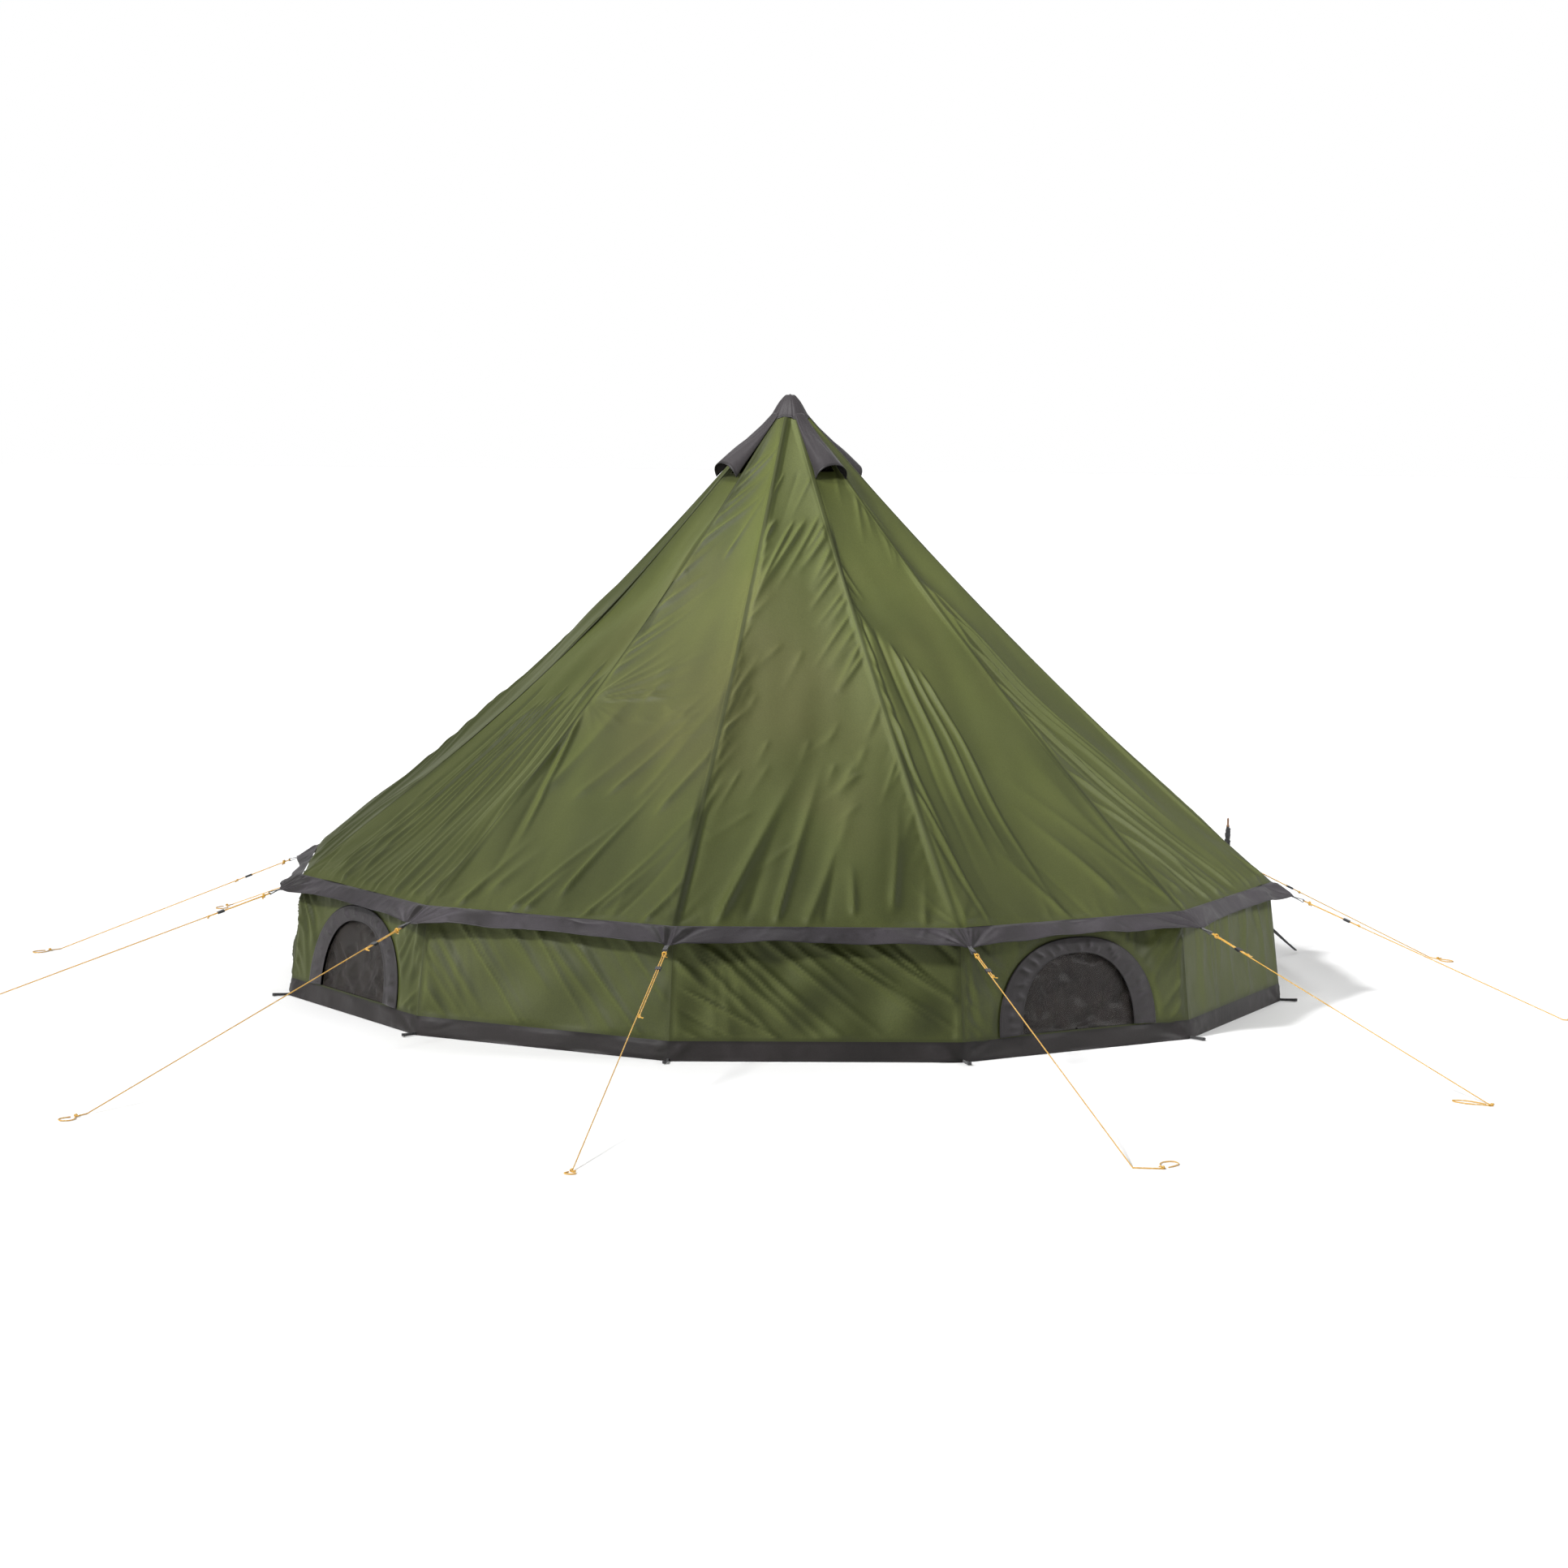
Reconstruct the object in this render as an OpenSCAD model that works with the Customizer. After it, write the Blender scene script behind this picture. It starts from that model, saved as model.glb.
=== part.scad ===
// Bell tent: a twelve-sided canopy on one centre pole, with a low wall, three mesh windows, four peak vents,
// a zipped door with two uprights, a sewn-in floor and twelve guy lines. Millimetres, +Z up.
// The origin is the centre of the floor at ground level, and the door faces -Y.

/* [Canopy] */
// Radius of the ground outline, from the axis to a corner
base_r = 2500; // [2480:5:2520]
// Radius of the eave seam, from the axis to a corner
eave_r = 2440; // [2430:5:2450]
// Height of the eave seam above the ground
eave_h = 585; // [575:5:600]
// Height of the point where the roof cloth meets the pole
peak_h = 2920; // [2915:1:2930]
// How far the roof curves in below a straight slope
roof_sag = 80; // [60:5:100]
// Thickness of each cloth panel
cloth_t = 3; // [2:0.5:3]

/* [Eave valance] */
// Radius of the valance's pointed corners
tip_r = 2555; // [2545:5:2570]
// Height of the valance's pointed corners
tip_h = 515; // [505:5:520]
// How far the valance's hem curves in between two corners
hem_scallop = 38; // [10:2:40]

/* [Wall and floor] */
// Height of the dark ground skirt, measured up the wall
skirt_h = 88; // [70:2:88]
// Thickness of the floor
floor_t = 3; // [2:0.5:4]

/* [Windows] */
// Half the width of a window's mesh
mesh_half_w = 320; // [300:5:340]
// Height of a window's mesh
mesh_h = 345; // [320:5:350]
// Width of the cloth trim beside the mesh
trim_side = 125; // [100:5:130]
// Width of the cloth trim above the mesh
trim_top = 75; // [50:5:80]

/* [Door] */
// Half the width of the doorway at the eave
door_half_w = 460; // [440:5:460]
// Half the width of the doorway at its top
door_top_half_w = 245; // [220:5:245]
// Canopy radius at the top of the doorway
door_top_r = 1150; // [1100:10:1200]

/* [Poles] */
// Outside radius of the centre pole
pole_r = 16; // [14:1:17]
// Wall thickness of the centre pole
pole_wall = 1; // [0.8:0.1:1.5]
// Outside radius of a door upright
upright_r = 8; // [7:0.5:9]
// Length of a door upright's tube
upright_h = 700; // [680:10:720]

/* [Guy lines] */
// Diameter of the guy lines
cord_d = 5; // [4:0.5:5]
// Distance of the peg eyelets from the axis
eyelet_r = 2575; // [2565:5:2580]
// Radius of the hole in a peg eyelet
eyelet_hole_r = 6; // [5:0.5:7]

/* [Hidden] */

olive = "#5c6539";
grey = "#504c50";
mesh_dark = "#33302c";
black = "#1c1c1e";
cord_orange = "#dea03c";

sides = 12;
step = 360 / sides;
half = step / 2;
seam_gap = 0.5;                 // clearance left on each side of a seam
wall_gap = seam_gap + cloth_t * tan(half);  // the same where two upright panels meet at a corner
drop = cloth_t * 1.42;          // the cloth's thickness measured straight down on the sloping roof
window_panels = [0, 3, 6];      // panel numbers, each 30 degrees further round from +X
vent_panels = [0, 3, 6, 9];
door_panel = 9;

roof_top_r = 60;
roof_rows = [roof_top_r, 420, 780, door_top_r, eave_r];

wall_top_r = eave_r - 10;
wall_top_h = eave_h - 7;
wall_lean = atan((base_r - wall_top_r) * cos(half) / wall_top_h);
wall_len = wall_top_h / cos(wall_lean);
wall_start = skirt_h + 0.5;

window_v = skirt_h + 8;         // where the mesh starts, measured up the wall
zip_gap = 14;                   // strip between a door flap and the cloth beside it
lower_flap_top = 488;           // top of the lower flap, measured up the wall
cap_lift = 8;                   // how far the peak cap stands off the roof
cap_r = 115;
hood_end = 370;                 // how far a vent hood's mouth is from the pole's axis
vent_from = 215;                // the opening under a hood, from and to that distance, and its width
vent_to = 335;
vent_w = 90;

pole_joints = [12, 1000, 1950, 2830];
foot_r = 26;
upright_x = 510;
upright_y = -2490;
strap_end = [550, -2965, 8];
strap_from_h = 380;

// Guy lines, one for each corner, counted round from the corner at 15 degrees. Each holds the radius where
// the line meets the ground, how many degrees it is splayed from its corner, the distance of its slider from
// the eave tab, the knot on the ground and the tip of the end loop as [outward, sideways] from that meeting
// point, the loop's width, and how far the doubled strand reaches past the slider.
guys = [
    [3980, 3.4, 220, [-10, 60], [-60, 190], 60, 70],
    [3800, 2.2, 200, [40, 60], [100, 150], 60, 70],
    [4080, 1.4, 220, [60, 10], [150, 30], 60, 70],
    [4740, 5.8, 180, [70, 0], [170, 10], 60, 70],
    [4870, 2.2, 180, [20, 0], [70, 0], 45, 560],
    [4790, -2.6, 180, [30, 110], [-90, 190], 70, 70],
    [4320, -5.7, 160, [50, -20], [-120, -80], 60, 70],
    [3860, -2.9, 200, [30, 0], [90, -10], 50, 70],
    [3630, -1.5, 220, [20, -60], [50, -170], 60, 70],
    [3900, 2.0, 200, [40, 20], [120, 50], 60, 70],
    [3900, -2.0, 220, [40, -20], [120, -50], 60, 70],
    [3900, 2.5, 200, [40, 20], [110, 60], 60, 70]
];
// Outline of an end loop, from its knot at [0, 0] to its tip at [1, 0], half as wide as 1 on each side
loop_outline = [[0, 0], [0.15, 0.12], [0.35, 0.33], [0.6, 0.48], [0.82, 0.42], [0.95, 0.22], [1, 0],
    [0.95, -0.22], [0.82, -0.42], [0.6, -0.48], [0.35, -0.33], [0.2, -0.2]];
guy_start = [tip_r + 57, 0, tip_h - 21];
strand_offset = 9;              // the doubled strand beside the line

function polar(r, azimuth, z) = [r * cos(azimuth), r * sin(azimuth), z];
function unit(v) = v / norm(v);
function mix(a, b, t) = a + (b - a) * t;

// Height of the roof's outer face at a seam of that radius
function roof_curve(r) =
    let (t = r / eave_r) peak_h - (peak_h - eave_h) * t - 4 * roof_sag * t * (1 - t);
// Below the doorway's top the cloth is drawn straight to the eave
function roof_z(r) = r <= door_top_r ? roof_curve(r)
    : mix(roof_curve(door_top_r), eave_h, (r - door_top_r) / (eave_r - door_top_r));
function seam_half(r) = r * sin(half) - seam_gap;
function door_half(r) = mix(door_top_half_w, door_half_w, (r - door_top_r) / (eave_r - door_top_r));
function wall_half(v) = mix(base_r, wall_top_r, v / wall_len) * sin(half) - wall_gap;

// A solid between two grids of points, each a list of rows, outer first
module shell(outer, inner) {
    rows = len(outer);
    cols = len(outer[0]);
    count = rows * cols;
    points = concat([for (row = outer) for (p = row) p], [for (row = inner) for (p = row) p]);
    faces = concat(
        [for (i = [0:rows - 2]) for (j = [0:cols - 2])
            [i * cols + j, i * cols + j + 1, (i + 1) * cols + j + 1, (i + 1) * cols + j]],
        [for (i = [0:rows - 2]) for (j = [0:cols - 2])
            [count + (i + 1) * cols + j, count + (i + 1) * cols + j + 1,
             count + i * cols + j + 1, count + i * cols + j]],
        [for (j = [0:cols - 2]) [j + 1, j, count + j, count + j + 1]],
        [for (j = [0:cols - 2])
            [(rows - 1) * cols + j, (rows - 1) * cols + j + 1,
             count + (rows - 1) * cols + j + 1, count + (rows - 1) * cols + j]],
        [for (i = [0:rows - 2])
            [i * cols, (i + 1) * cols, count + (i + 1) * cols, count + i * cols]],
        [for (i = [0:rows - 2])
            [(i + 2) * cols - 1, (i + 1) * cols - 1,
             count + (i + 1) * cols - 1, count + (i + 2) * cols - 1]]);
    polyhedron(points = points, faces = faces, convexity = 4);
}

// Roof cloth on the panel that faces +X, from rows of [radius, one side, other side]
module roof_strip(rows, thickness = drop) {
    outer = [for (q = rows) [for (s = [1, 2]) [q[0] * cos(half), q[s], roof_z(q[0])]]];
    inner = [for (row = outer) [for (p = row) p - [0, 0, thickness]]];
    shell(outer, inner);
}

// Puts flat work on a wall panel: x runs along the panel, y up it and z outward
module on_wall(panel) {
    rotate([0, 0, panel * step])
        translate([base_r * cos(half), 0, 0])
            rotate([0, -wall_lean, 0])
                rotate([90, 0, 90])
                    children();
}

// A plate on a wall panel whose outer face stands at that height off the wall's outer face
module wall_plate(panel, outer_face, thickness) {
    on_wall(panel)
        translate([0, 0, outer_face - thickness])
            linear_extrude(thickness)
                children();
}

module wall_outline(from_v, to_v) {
    polygon([[-wall_half(from_v), from_v], [wall_half(from_v), from_v],
             [wall_half(to_v), to_v], [-wall_half(to_v), to_v]]);
}

// An arched window outline standing on the height v
module arch(half_w, height, v, arch_points = 20) {
    power = 2 / 2.3;
    polygon([for (i = [0:arch_points])
        let (a = 180 * i / arch_points)
            [half_w * sign(cos(a)) * pow(abs(cos(a)), power), v + height * pow(abs(sin(a)), power)]]);
}

// Puts a piece at a point with its z along one direction and its x as level as it can be
module place(origin, along) {
    z = unit(along);
    x = unit(cross([0, 0, 1], z));
    y = cross(z, x);
    multmatrix([[x[0], y[0], z[0], origin[0]],
                [x[1], y[1], z[1], origin[1]],
                [x[2], y[2], z[2], origin[2]],
                [0, 0, 0, 1]])
        children();
}

// A round cord swept along a list of points
module swept_cord(route, d, ring_sides = 8) {
    n = len(route);
    rings = [for (i = [0:n - 1])
        let (ahead = unit(route[min(i + 1, n - 1)] - route[max(i - 1, 0)]),
             across = unit(cross(ahead, [0, 0, 1])),
             above = cross(across, ahead))
            [for (j = [0:ring_sides - 1])
                let (a = 360 * j / ring_sides)
                    route[i] + d / 2 * (cos(a) * across + sin(a) * above)]];
    points = [for (ring = rings) for (p = ring) p];
    faces = concat(
        [[for (j = [0:ring_sides - 1]) j]],
        [[for (j = [ring_sides - 1:-1:0]) (n - 1) * ring_sides + j]],
        [for (i = [0:n - 2]) for (j = [0:ring_sides - 1])
            let (k = (j + 1) % ring_sides, low = i * ring_sides, high = low + ring_sides)
                [low + k, low + j, high + j, high + k]]);
    polyhedron(points = points, faces = faces, convexity = 6);
}

module groundsheet() {
    color(grey)
        rotate([0, 0, half])
            cylinder(h = floor_t, r = base_r - 4, $fn = sides);
}

module ground_skirt() {
    color(grey)
        for (panel = [0:sides - 1])
            wall_plate(panel, 0, cloth_t) wall_outline(1, skirt_h);
}

module side_wall() {
    color(olive)
        for (panel = [0:sides - 1])
            wall_plate(panel, 0, cloth_t)
                if (panel == door_panel)
                    difference() {
                        wall_outline(wall_start, wall_len);
                        translate([-door_half_w - zip_gap, 0])
                            square([2 * (door_half_w + zip_gap), wall_len + 1]);
                    }
                else if (len(search(panel, window_panels)) > 0)
                    difference() {
                        wall_outline(wall_start, wall_len);
                        arch(mesh_half_w + 2, mesh_h + 2, window_v - 1);
                    }
                else
                    wall_outline(wall_start, wall_len);
}

module roof_gore(rows) {
    roof_strip([for (r = rows) [r, -seam_half(r), seam_half(r)]]);
}

module vent_hole() {
    translate([vent_from, -vent_w / 2, 2000])
        cube([vent_to - vent_from, vent_w, 1000]);
}

module roof_canopy() {
    above_door = [roof_top_r, 420, 780, door_top_r];
    beside_door = [door_top_r + 3, eave_r];
    color(olive) {
        for (panel = [0:sides - 1])
            if (panel != door_panel)
                rotate([0, 0, panel * step])
                    difference() {
                        roof_gore(roof_rows);
                        if (len(search(panel, vent_panels)) > 0)
                            vent_hole();
                    }
        rotate([0, 0, door_panel * step]) {
            difference() {
                roof_gore(above_door);
                vent_hole();
            }
            for (side = [0, 1])
                mirror([0, side, 0])
                    roof_strip([for (r = beside_door) [r, door_half(r) + zip_gap, seam_half(r)]]);
        }
    }
}

// Part of the valance on the panel that faces +X, from s0 to s1, where -1 and 1 are the panel's corners
module valance_strip(s0, s1, pieces) {
    top_r = eave_r + 2;
    stations = [for (j = [0:pieces]) mix(s0, s1, j / pieces)];
    upper = [for (s = stations) [top_r * cos(half), s * (top_r * sin(half) - seam_gap), eave_h]];
    lower = [for (s = stations)
        [tip_r * cos(half) - hem_scallop * (1 - s * s), s * (tip_r * sin(half) - seam_gap),
         tip_h + 14 * (1 - s * s)]];
    outer = [upper, lower];
    shell(outer, [for (row = outer) [for (p = row) p - [0, 0, drop]]]);
}

module eave_valance() {
    door_edge = (door_half_w + 10) / (eave_r * sin(half));
    color(grey)
        for (panel = [0:sides - 1])
            rotate([0, 0, panel * step])
                if (panel == door_panel) {
                    valance_strip(-1, -door_edge, 2);
                    valance_strip(door_edge, 1, 2);
                }
                else
                    valance_strip(-1, 1, 6);
}

module door_valance() {
    edge = (door_half_w - 22) / (eave_r * sin(half));
    color(grey)
        rotate([0, 0, door_panel * step])
            valance_strip(-edge, edge, 6);
}

module peak_cap() {
    rim_z = roof_curve(cap_r) + cap_lift;
    tip_z = peak_h + cap_lift;
    color(grey)
        rotate_extrude($fn = 48)
            polygon([[0, tip_z], [cap_r, rim_z], [cap_r, rim_z - drop], [0, tip_z - drop]]);
}

// An arched hood on the roof of the panel that faces +X, open at its lower end
module vent_hood(panel) {
    lean = [0.45, 0, 0.89];
    lengths = 5;
    facets = 8;
    function section(t, skin) =
        let (x = mix(128, hood_end, t),
             half_w = mix(40, 90, t) - skin,
             rise = mix(9, 80, t) - skin,
             foot = [x, 0, roof_z(x / cos(half)) + 4])
            [for (j = [0:facets])
                let (a = 180 - 180 * j / facets)
                    foot + [0, half_w * cos(a), 0] + rise * sin(a) * lean];
    outer = [for (i = [0:lengths]) section(i / lengths, 0)];
    inner = [for (i = [0:lengths]) section(i / lengths, cloth_t)];
    color(grey)
        rotate([0, 0, panel * step])
            shell(outer, inner);
}

module vent_mesh() {
    color(mesh_dark)
        for (panel = vent_panels)
            rotate([0, 0, panel * step])
                intersection() {
                    roof_strip([for (r = [roof_top_r, 420, 780]) [r, 2 - vent_w / 2, vent_w / 2 - 2]],
                        drop / 2);
                    translate([vent_from + 2, -vent_w / 2, 2000])
                        cube([vent_to - vent_from - 4, vent_w, 1000]);
                }
}

module window_trim() {
    color(grey)
        for (panel = window_panels)
            wall_plate(panel, 2.5, 2)
                difference() {
                    arch(mesh_half_w + trim_side, mesh_h + trim_top, window_v - 4);
                    arch(mesh_half_w - 2, mesh_h - 2, window_v + 2);
                }
}

module window_mesh() {
    color(mesh_dark)
        for (panel = window_panels)
            wall_plate(panel, -1, 1)
                arch(mesh_half_w, mesh_h, window_v);
}

module window_cover(panel) {
    color(mesh_dark)
        wall_plate(panel, -9, cloth_t)
            arch(mesh_half_w + 15, mesh_h + 18, window_v);
}

module door_flap_upper() {
    color(olive)
        rotate([0, 0, door_panel * step])
            roof_strip([for (r = [door_top_r + 8, eave_r]) [r, -door_half(r), door_half(r)]]);
}

module door_flap_lower() {
    color(olive)
        wall_plate(door_panel, 0, cloth_t)
            translate([-door_half_w, skirt_h + 4])
                square([2 * door_half_w, lower_flap_top - skirt_h - 4]);
}

module zip_tape() {
    color(black) {
        rotate([0, 0, door_panel * step])
            for (side = [0, 1])
                mirror([0, side, 0])
                    roof_strip([for (r = [door_top_r + 8, eave_r - 3])
                        [r, door_half(r) + 2, door_half(r) + zip_gap - 2]]);
        wall_plate(door_panel, 0, cloth_t)
            for (side = [-1, 1])
                translate([side * (door_half_w + zip_gap / 2) - zip_gap / 2 + 2, skirt_h + 4])
                    square([zip_gap - 4, lower_flap_top - skirt_h - 4]);
    }
}

// A point on the zip beside the upper flap; side is -1 for the left of the doorway and 1 for the right
function zip_point(r, side) = [side * (door_half(r) + zip_gap / 2), -r * cos(half), roof_z(r)];

module zip_slider(side) {
    low = zip_point(eave_r - 60, side);
    along = zip_point(door_top_r, side) - low;
    color(black)
        place(low, along) {
            translate([0, 5.5, 0])
                linear_extrude(22)
                    offset(r = 1)
                        square([8, 5], center = true);
            translate([-3, 9, -38])
                cube([6, 2, 44]);
        }
}

module pole_section(from_z, to_z, has_spigot) {
    spigot = 60;
    bore = pole_r - pole_wall;
    color("#8a8c8e")
        rotate_extrude($fn = 48) {
            translate([bore, from_z])
                square([pole_wall, to_z - from_z]);
            if (has_spigot)
                polygon([[bore - 1.2, from_z - spigot], [bore - 0.1, from_z - spigot], [bore - 0.1, from_z],
                         [bore + 0.2, from_z], [bore + 0.2, from_z + 8], [bore - 1.2, from_z + 8]]);
        }
}

module pole_foot() {
    color(black)
        rotate_extrude($fn = 48)
            polygon([[0, floor_t], [foot_r, floor_t], [foot_r, 14], [pole_r + 4, 45], [pole_r + 0.1, 45],
                     [pole_r + 0.1, 12], [0, 12]]);
}

module pole_top_cap() {
    top_z = pole_joints[3];
    inside = pole_r - pole_wall - 0.1;
    color(black)
        rotate_extrude($fn = 48)
            polygon([[0, top_z - 40], [inside, top_z - 40], [inside, top_z], [24, top_z], [24, top_z + 22],
                     [14, top_z + 42], [0, top_z + 48]]);
}

module door_upright(side) {
    color("#2a2b2d")
        translate([side * upright_x, upright_y, 0])
            difference() {
                cylinder(h = upright_h, r = upright_r, $fn = 32);
                translate([0, 0, 2])
                    cylinder(h = upright_h, r = upright_r - 1, $fn = 32);
            }
}

module upright_wraps() {
    color(black)
        for (side = [-1, 1])
            for (z = [575, 620, 665])
                translate([side * upright_x, upright_y, z])
                    rotate_extrude($fn = 32)
                        polygon([[upright_r + 0.1, 0], [upright_r + 5, 5], [upright_r + 6, 14],
                                 [upright_r + 5, 23], [upright_r + 0.1, 28]]);
}

module upright_tips() {
    plug = upright_r - 1.1;
    color("#6b4a2c")
        for (side = [-1, 1])
            translate([side * upright_x, upright_y, upright_h])
                rotate_extrude($fn = 32)
                    polygon([[0, -30], [plug, -30], [plug, 0], [upright_r, 0], [upright_r, 6], [5, 10],
                             [5, 40], [3, 46], [0, 47]]);
}

module upright_tabs() {
    hem_y = -tip_r * cos(half) + 12;
    color(black)
        for (side = [-1, 1]) {
            translate([side * upright_x, upright_y, 532])
                difference() {
                    union() {
                        cylinder(h = 14, r = upright_r + 4, $fn = 32);
                        translate([-9, 0, 5])
                            cube([18, hem_y - upright_y - 4, 3]);
                    }
                    translate([0, 0, -1])
                        cylinder(h = 16, r = upright_r + 0.2, $fn = 32);
                }
        }
}

module door_straps() {
    width = 20;
    for (side = [-1, 1]) {
        start = [side * upright_x, upright_y - upright_r - 1, strap_from_h];
        finish = [side * strap_end[0], strap_end[1], strap_end[2]];
        color(black)
            place(start, finish - start)
                translate([-width / 2, -1, 0])
                    cube([width, 2, norm(finish - start)]);
    }
}

// Webbing tabs at the valance's corners; each has a hole at its outer end for the guy line
module eave_tabs() {
    color(black)
        for (corner = [0:sides - 1])
            rotate([0, 0, half + corner * step])
                translate([tip_r + 3, 0, tip_h - 1])
                    rotate([0, 20, 0])
                        difference() {
                            translate([0, -11, -1.5])
                                cube([50, 22, 3]);
                            translate([38, 0, -3])
                                cylinder(h = 6, r = 6, $fn = 32);
                        }
}

module peg_loops() {
    color(black)
        for (corner = [0:sides - 1])
            rotate([0, 0, half + corner * step])
                difference() {
                    translate([base_r + 3, -12, 0.5])
                        cube([eyelet_r - base_r + 12, 24, 4]);
                    translate([eyelet_r, 0, -1])
                        cylinder(h = 8, r = eyelet_hole_r, $fn = 32);
                }
}

function guy_origin(k) = polar(guy_start[0], half + k * step, guy_start[2]);
function guy_ground(k) = polar(guys[k][0], half + k * step + guys[k][1], cord_d / 2 + 0.1);
function guy_direction(k) = unit(guy_ground(k) - guy_origin(k));

// The line's whole route: taut to the ground, on to its knot and round the end loop
function guy_route(k) =
    let (from = guy_origin(k),
         meet = guy_ground(k),
         outward = unit([meet[0] - from[0], meet[1] - from[1], 0]),
         sideways = [-outward[1], outward[0], 0],
         knot = meet + guys[k][3][0] * outward + guys[k][3][1] * sideways,
         tip = meet + guys[k][4][0] * outward + guys[k][4][1] * sideways,
         reach = tip - knot,
         across = [-reach[1], reach[0], 0] / norm(reach))
        concat([from, mix(meet, from, 0.01), meet],
               [for (p = loop_outline) knot + p[0] * reach + p[1] * guys[k][5] * across]);

module guy_line(k) {
    from = guy_origin(k);
    ahead = guy_direction(k);
    aside = unit(cross([0, 0, 1], ahead)) * strand_offset;
    color(cord_orange) {
        swept_cord(guy_route(k), cord_d);
        swept_cord([from + aside + 8 * ahead, from + aside + (guys[k][2] + guys[k][6]) * ahead], cord_d);
    }
}

// A tension slider: a flat bar with two bores along the cord
module guy_slider(k) {
    length = 34;
    bore_r = cord_d / 2 + 0.8;
    color(black)
        place(guy_origin(k) + guys[k][2] * guy_direction(k), guy_direction(k))
            difference() {
                translate([strand_offset / 2 - 12, -5, 0])
                    cube([24, 10, length]);
                for (x = [0, strand_offset])
                    translate([x, 0, -1])
                        cylinder(h = length + 2, r = bore_r, $fn = 32);
            }
}

groundsheet();
ground_skirt();
side_wall();
roof_canopy();
eave_valance();
peak_cap();
vent_hood(vent_panels[0]);  // vent_hood_1
vent_hood(vent_panels[1]);  // vent_hood_2
vent_hood(vent_panels[2]);  // vent_hood_3
vent_hood(vent_panels[3]);  // vent_hood_4
vent_mesh();
window_trim();
window_mesh();
window_cover(window_panels[0]);  // window_cover_1
window_cover(window_panels[1]);  // window_cover_2
window_cover(window_panels[2]);  // window_cover_3
door_flap_upper();
door_flap_lower();
door_valance();
zip_tape();
zip_slider(-1);  // zip_slider_left
zip_slider(1);  // zip_slider_right
pole_foot();
pole_section(pole_joints[0], pole_joints[1], false);  // pole_lower
pole_section(pole_joints[1], pole_joints[2], true);  // pole_middle
pole_section(pole_joints[2], pole_joints[3], true);  // pole_upper
pole_top_cap();
door_upright(-1);  // door_upright_left
door_upright(1);  // door_upright_right
upright_wraps();
upright_tips();
upright_tabs();
door_straps();
eave_tabs();
peg_loops();
guy_line(0);  // guy_line_01
guy_line(1);  // guy_line_02
guy_line(2);  // guy_line_03
guy_line(3);  // guy_line_04
guy_line(4);  // guy_line_05
guy_line(5);  // guy_line_06
guy_line(6);  // guy_line_07
guy_line(7);  // guy_line_08
guy_line(8);  // guy_line_09
guy_line(9);  // guy_line_10
guy_line(10);  // guy_line_11
guy_line(11);  // guy_line_12
guy_slider(0);  // guy_slider_01
guy_slider(1);  // guy_slider_02
guy_slider(2);  // guy_slider_03
guy_slider(3);  // guy_slider_04
guy_slider(4);  // guy_slider_05
guy_slider(5);  // guy_slider_06
guy_slider(6);  // guy_slider_07
guy_slider(7);  // guy_slider_08
guy_slider(8);  // guy_slider_09
guy_slider(9);  // guy_slider_10
guy_slider(10);  // guy_slider_11
guy_slider(11);  // guy_slider_12
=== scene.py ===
"""Looks of the bell tent: cloth sheets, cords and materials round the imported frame. Metres, door on -Y."""

import random
from math import atan, cos, pi, radians, sin, sqrt

import bpy
import numpy as np
from mathutils import Matrix, Vector


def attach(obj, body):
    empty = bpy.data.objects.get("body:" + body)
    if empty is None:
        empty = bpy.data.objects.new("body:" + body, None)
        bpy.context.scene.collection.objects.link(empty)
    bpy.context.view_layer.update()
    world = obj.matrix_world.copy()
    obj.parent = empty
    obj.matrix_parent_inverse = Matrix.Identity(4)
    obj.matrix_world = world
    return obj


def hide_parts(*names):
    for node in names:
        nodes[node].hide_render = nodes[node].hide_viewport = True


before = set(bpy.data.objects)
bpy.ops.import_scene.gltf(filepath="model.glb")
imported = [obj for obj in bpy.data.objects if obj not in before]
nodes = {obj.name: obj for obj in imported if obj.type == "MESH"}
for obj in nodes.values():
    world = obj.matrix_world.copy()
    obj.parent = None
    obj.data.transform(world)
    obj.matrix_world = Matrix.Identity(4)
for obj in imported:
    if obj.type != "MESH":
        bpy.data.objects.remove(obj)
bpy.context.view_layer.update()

# ---- driving dimensions, as in the frame

SIDES = 12
STEP = 2 * pi / SIDES
HALF = STEP / 2
COS_HALF, SIN_HALF = cos(HALF), sin(HALF)

BASE_R, EAVE_R, EAVE_H, PEAK_H, ROOF_SAG = 2.5, 2.44, 0.585, 2.92, 0.08
ROOF_TOP_R = 0.06
TIP_R, TIP_H, HEM_SCALLOP = 2.555, 0.515, 0.038
SKIRT_H = 0.088
WALL_TOP_R, WALL_TOP_H = EAVE_R - 0.010, EAVE_H - 0.007
MESH_HALF_W, MESH_H, WINDOW_V = 0.32, 0.345, 0.096
TRIM_SIDE, TRIM_TOP = 0.125, 0.075
DOOR_HALF_W, DOOR_TOP_HALF_W, DOOR_TOP_R, ZIP_GAP = 0.46, 0.245, 1.15, 0.014
LOWER_FLAP_TOP = 0.488
CORD_D = 0.005
UPRIGHT_X, UPRIGHT_Y = 0.51, -2.49
PANEL_CLOTH = 1.4                       # offset of one panel's cloth coordinates from the last one's
ALONG_X, ALONG_Y, UP = Vector((1, 0, 0)), Vector((0, 1, 0)), Vector((0, 0, 1))

WINDOW_PANELS = (0, 3, 6)
VENT_PANELS = (0, 3, 6, 9)
DOOR_PANEL = 9


def add_object(name, data, body=None):
    """Puts mesh, curve, camera or lamp data into the scene, riding on a body where one is named."""
    made = bpy.data.objects.new(name, data)
    bpy.context.scene.collection.objects.link(made)
    if body:
        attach(made, body)
    return made


# ---- camera, at the photograph's viewing angle

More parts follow.
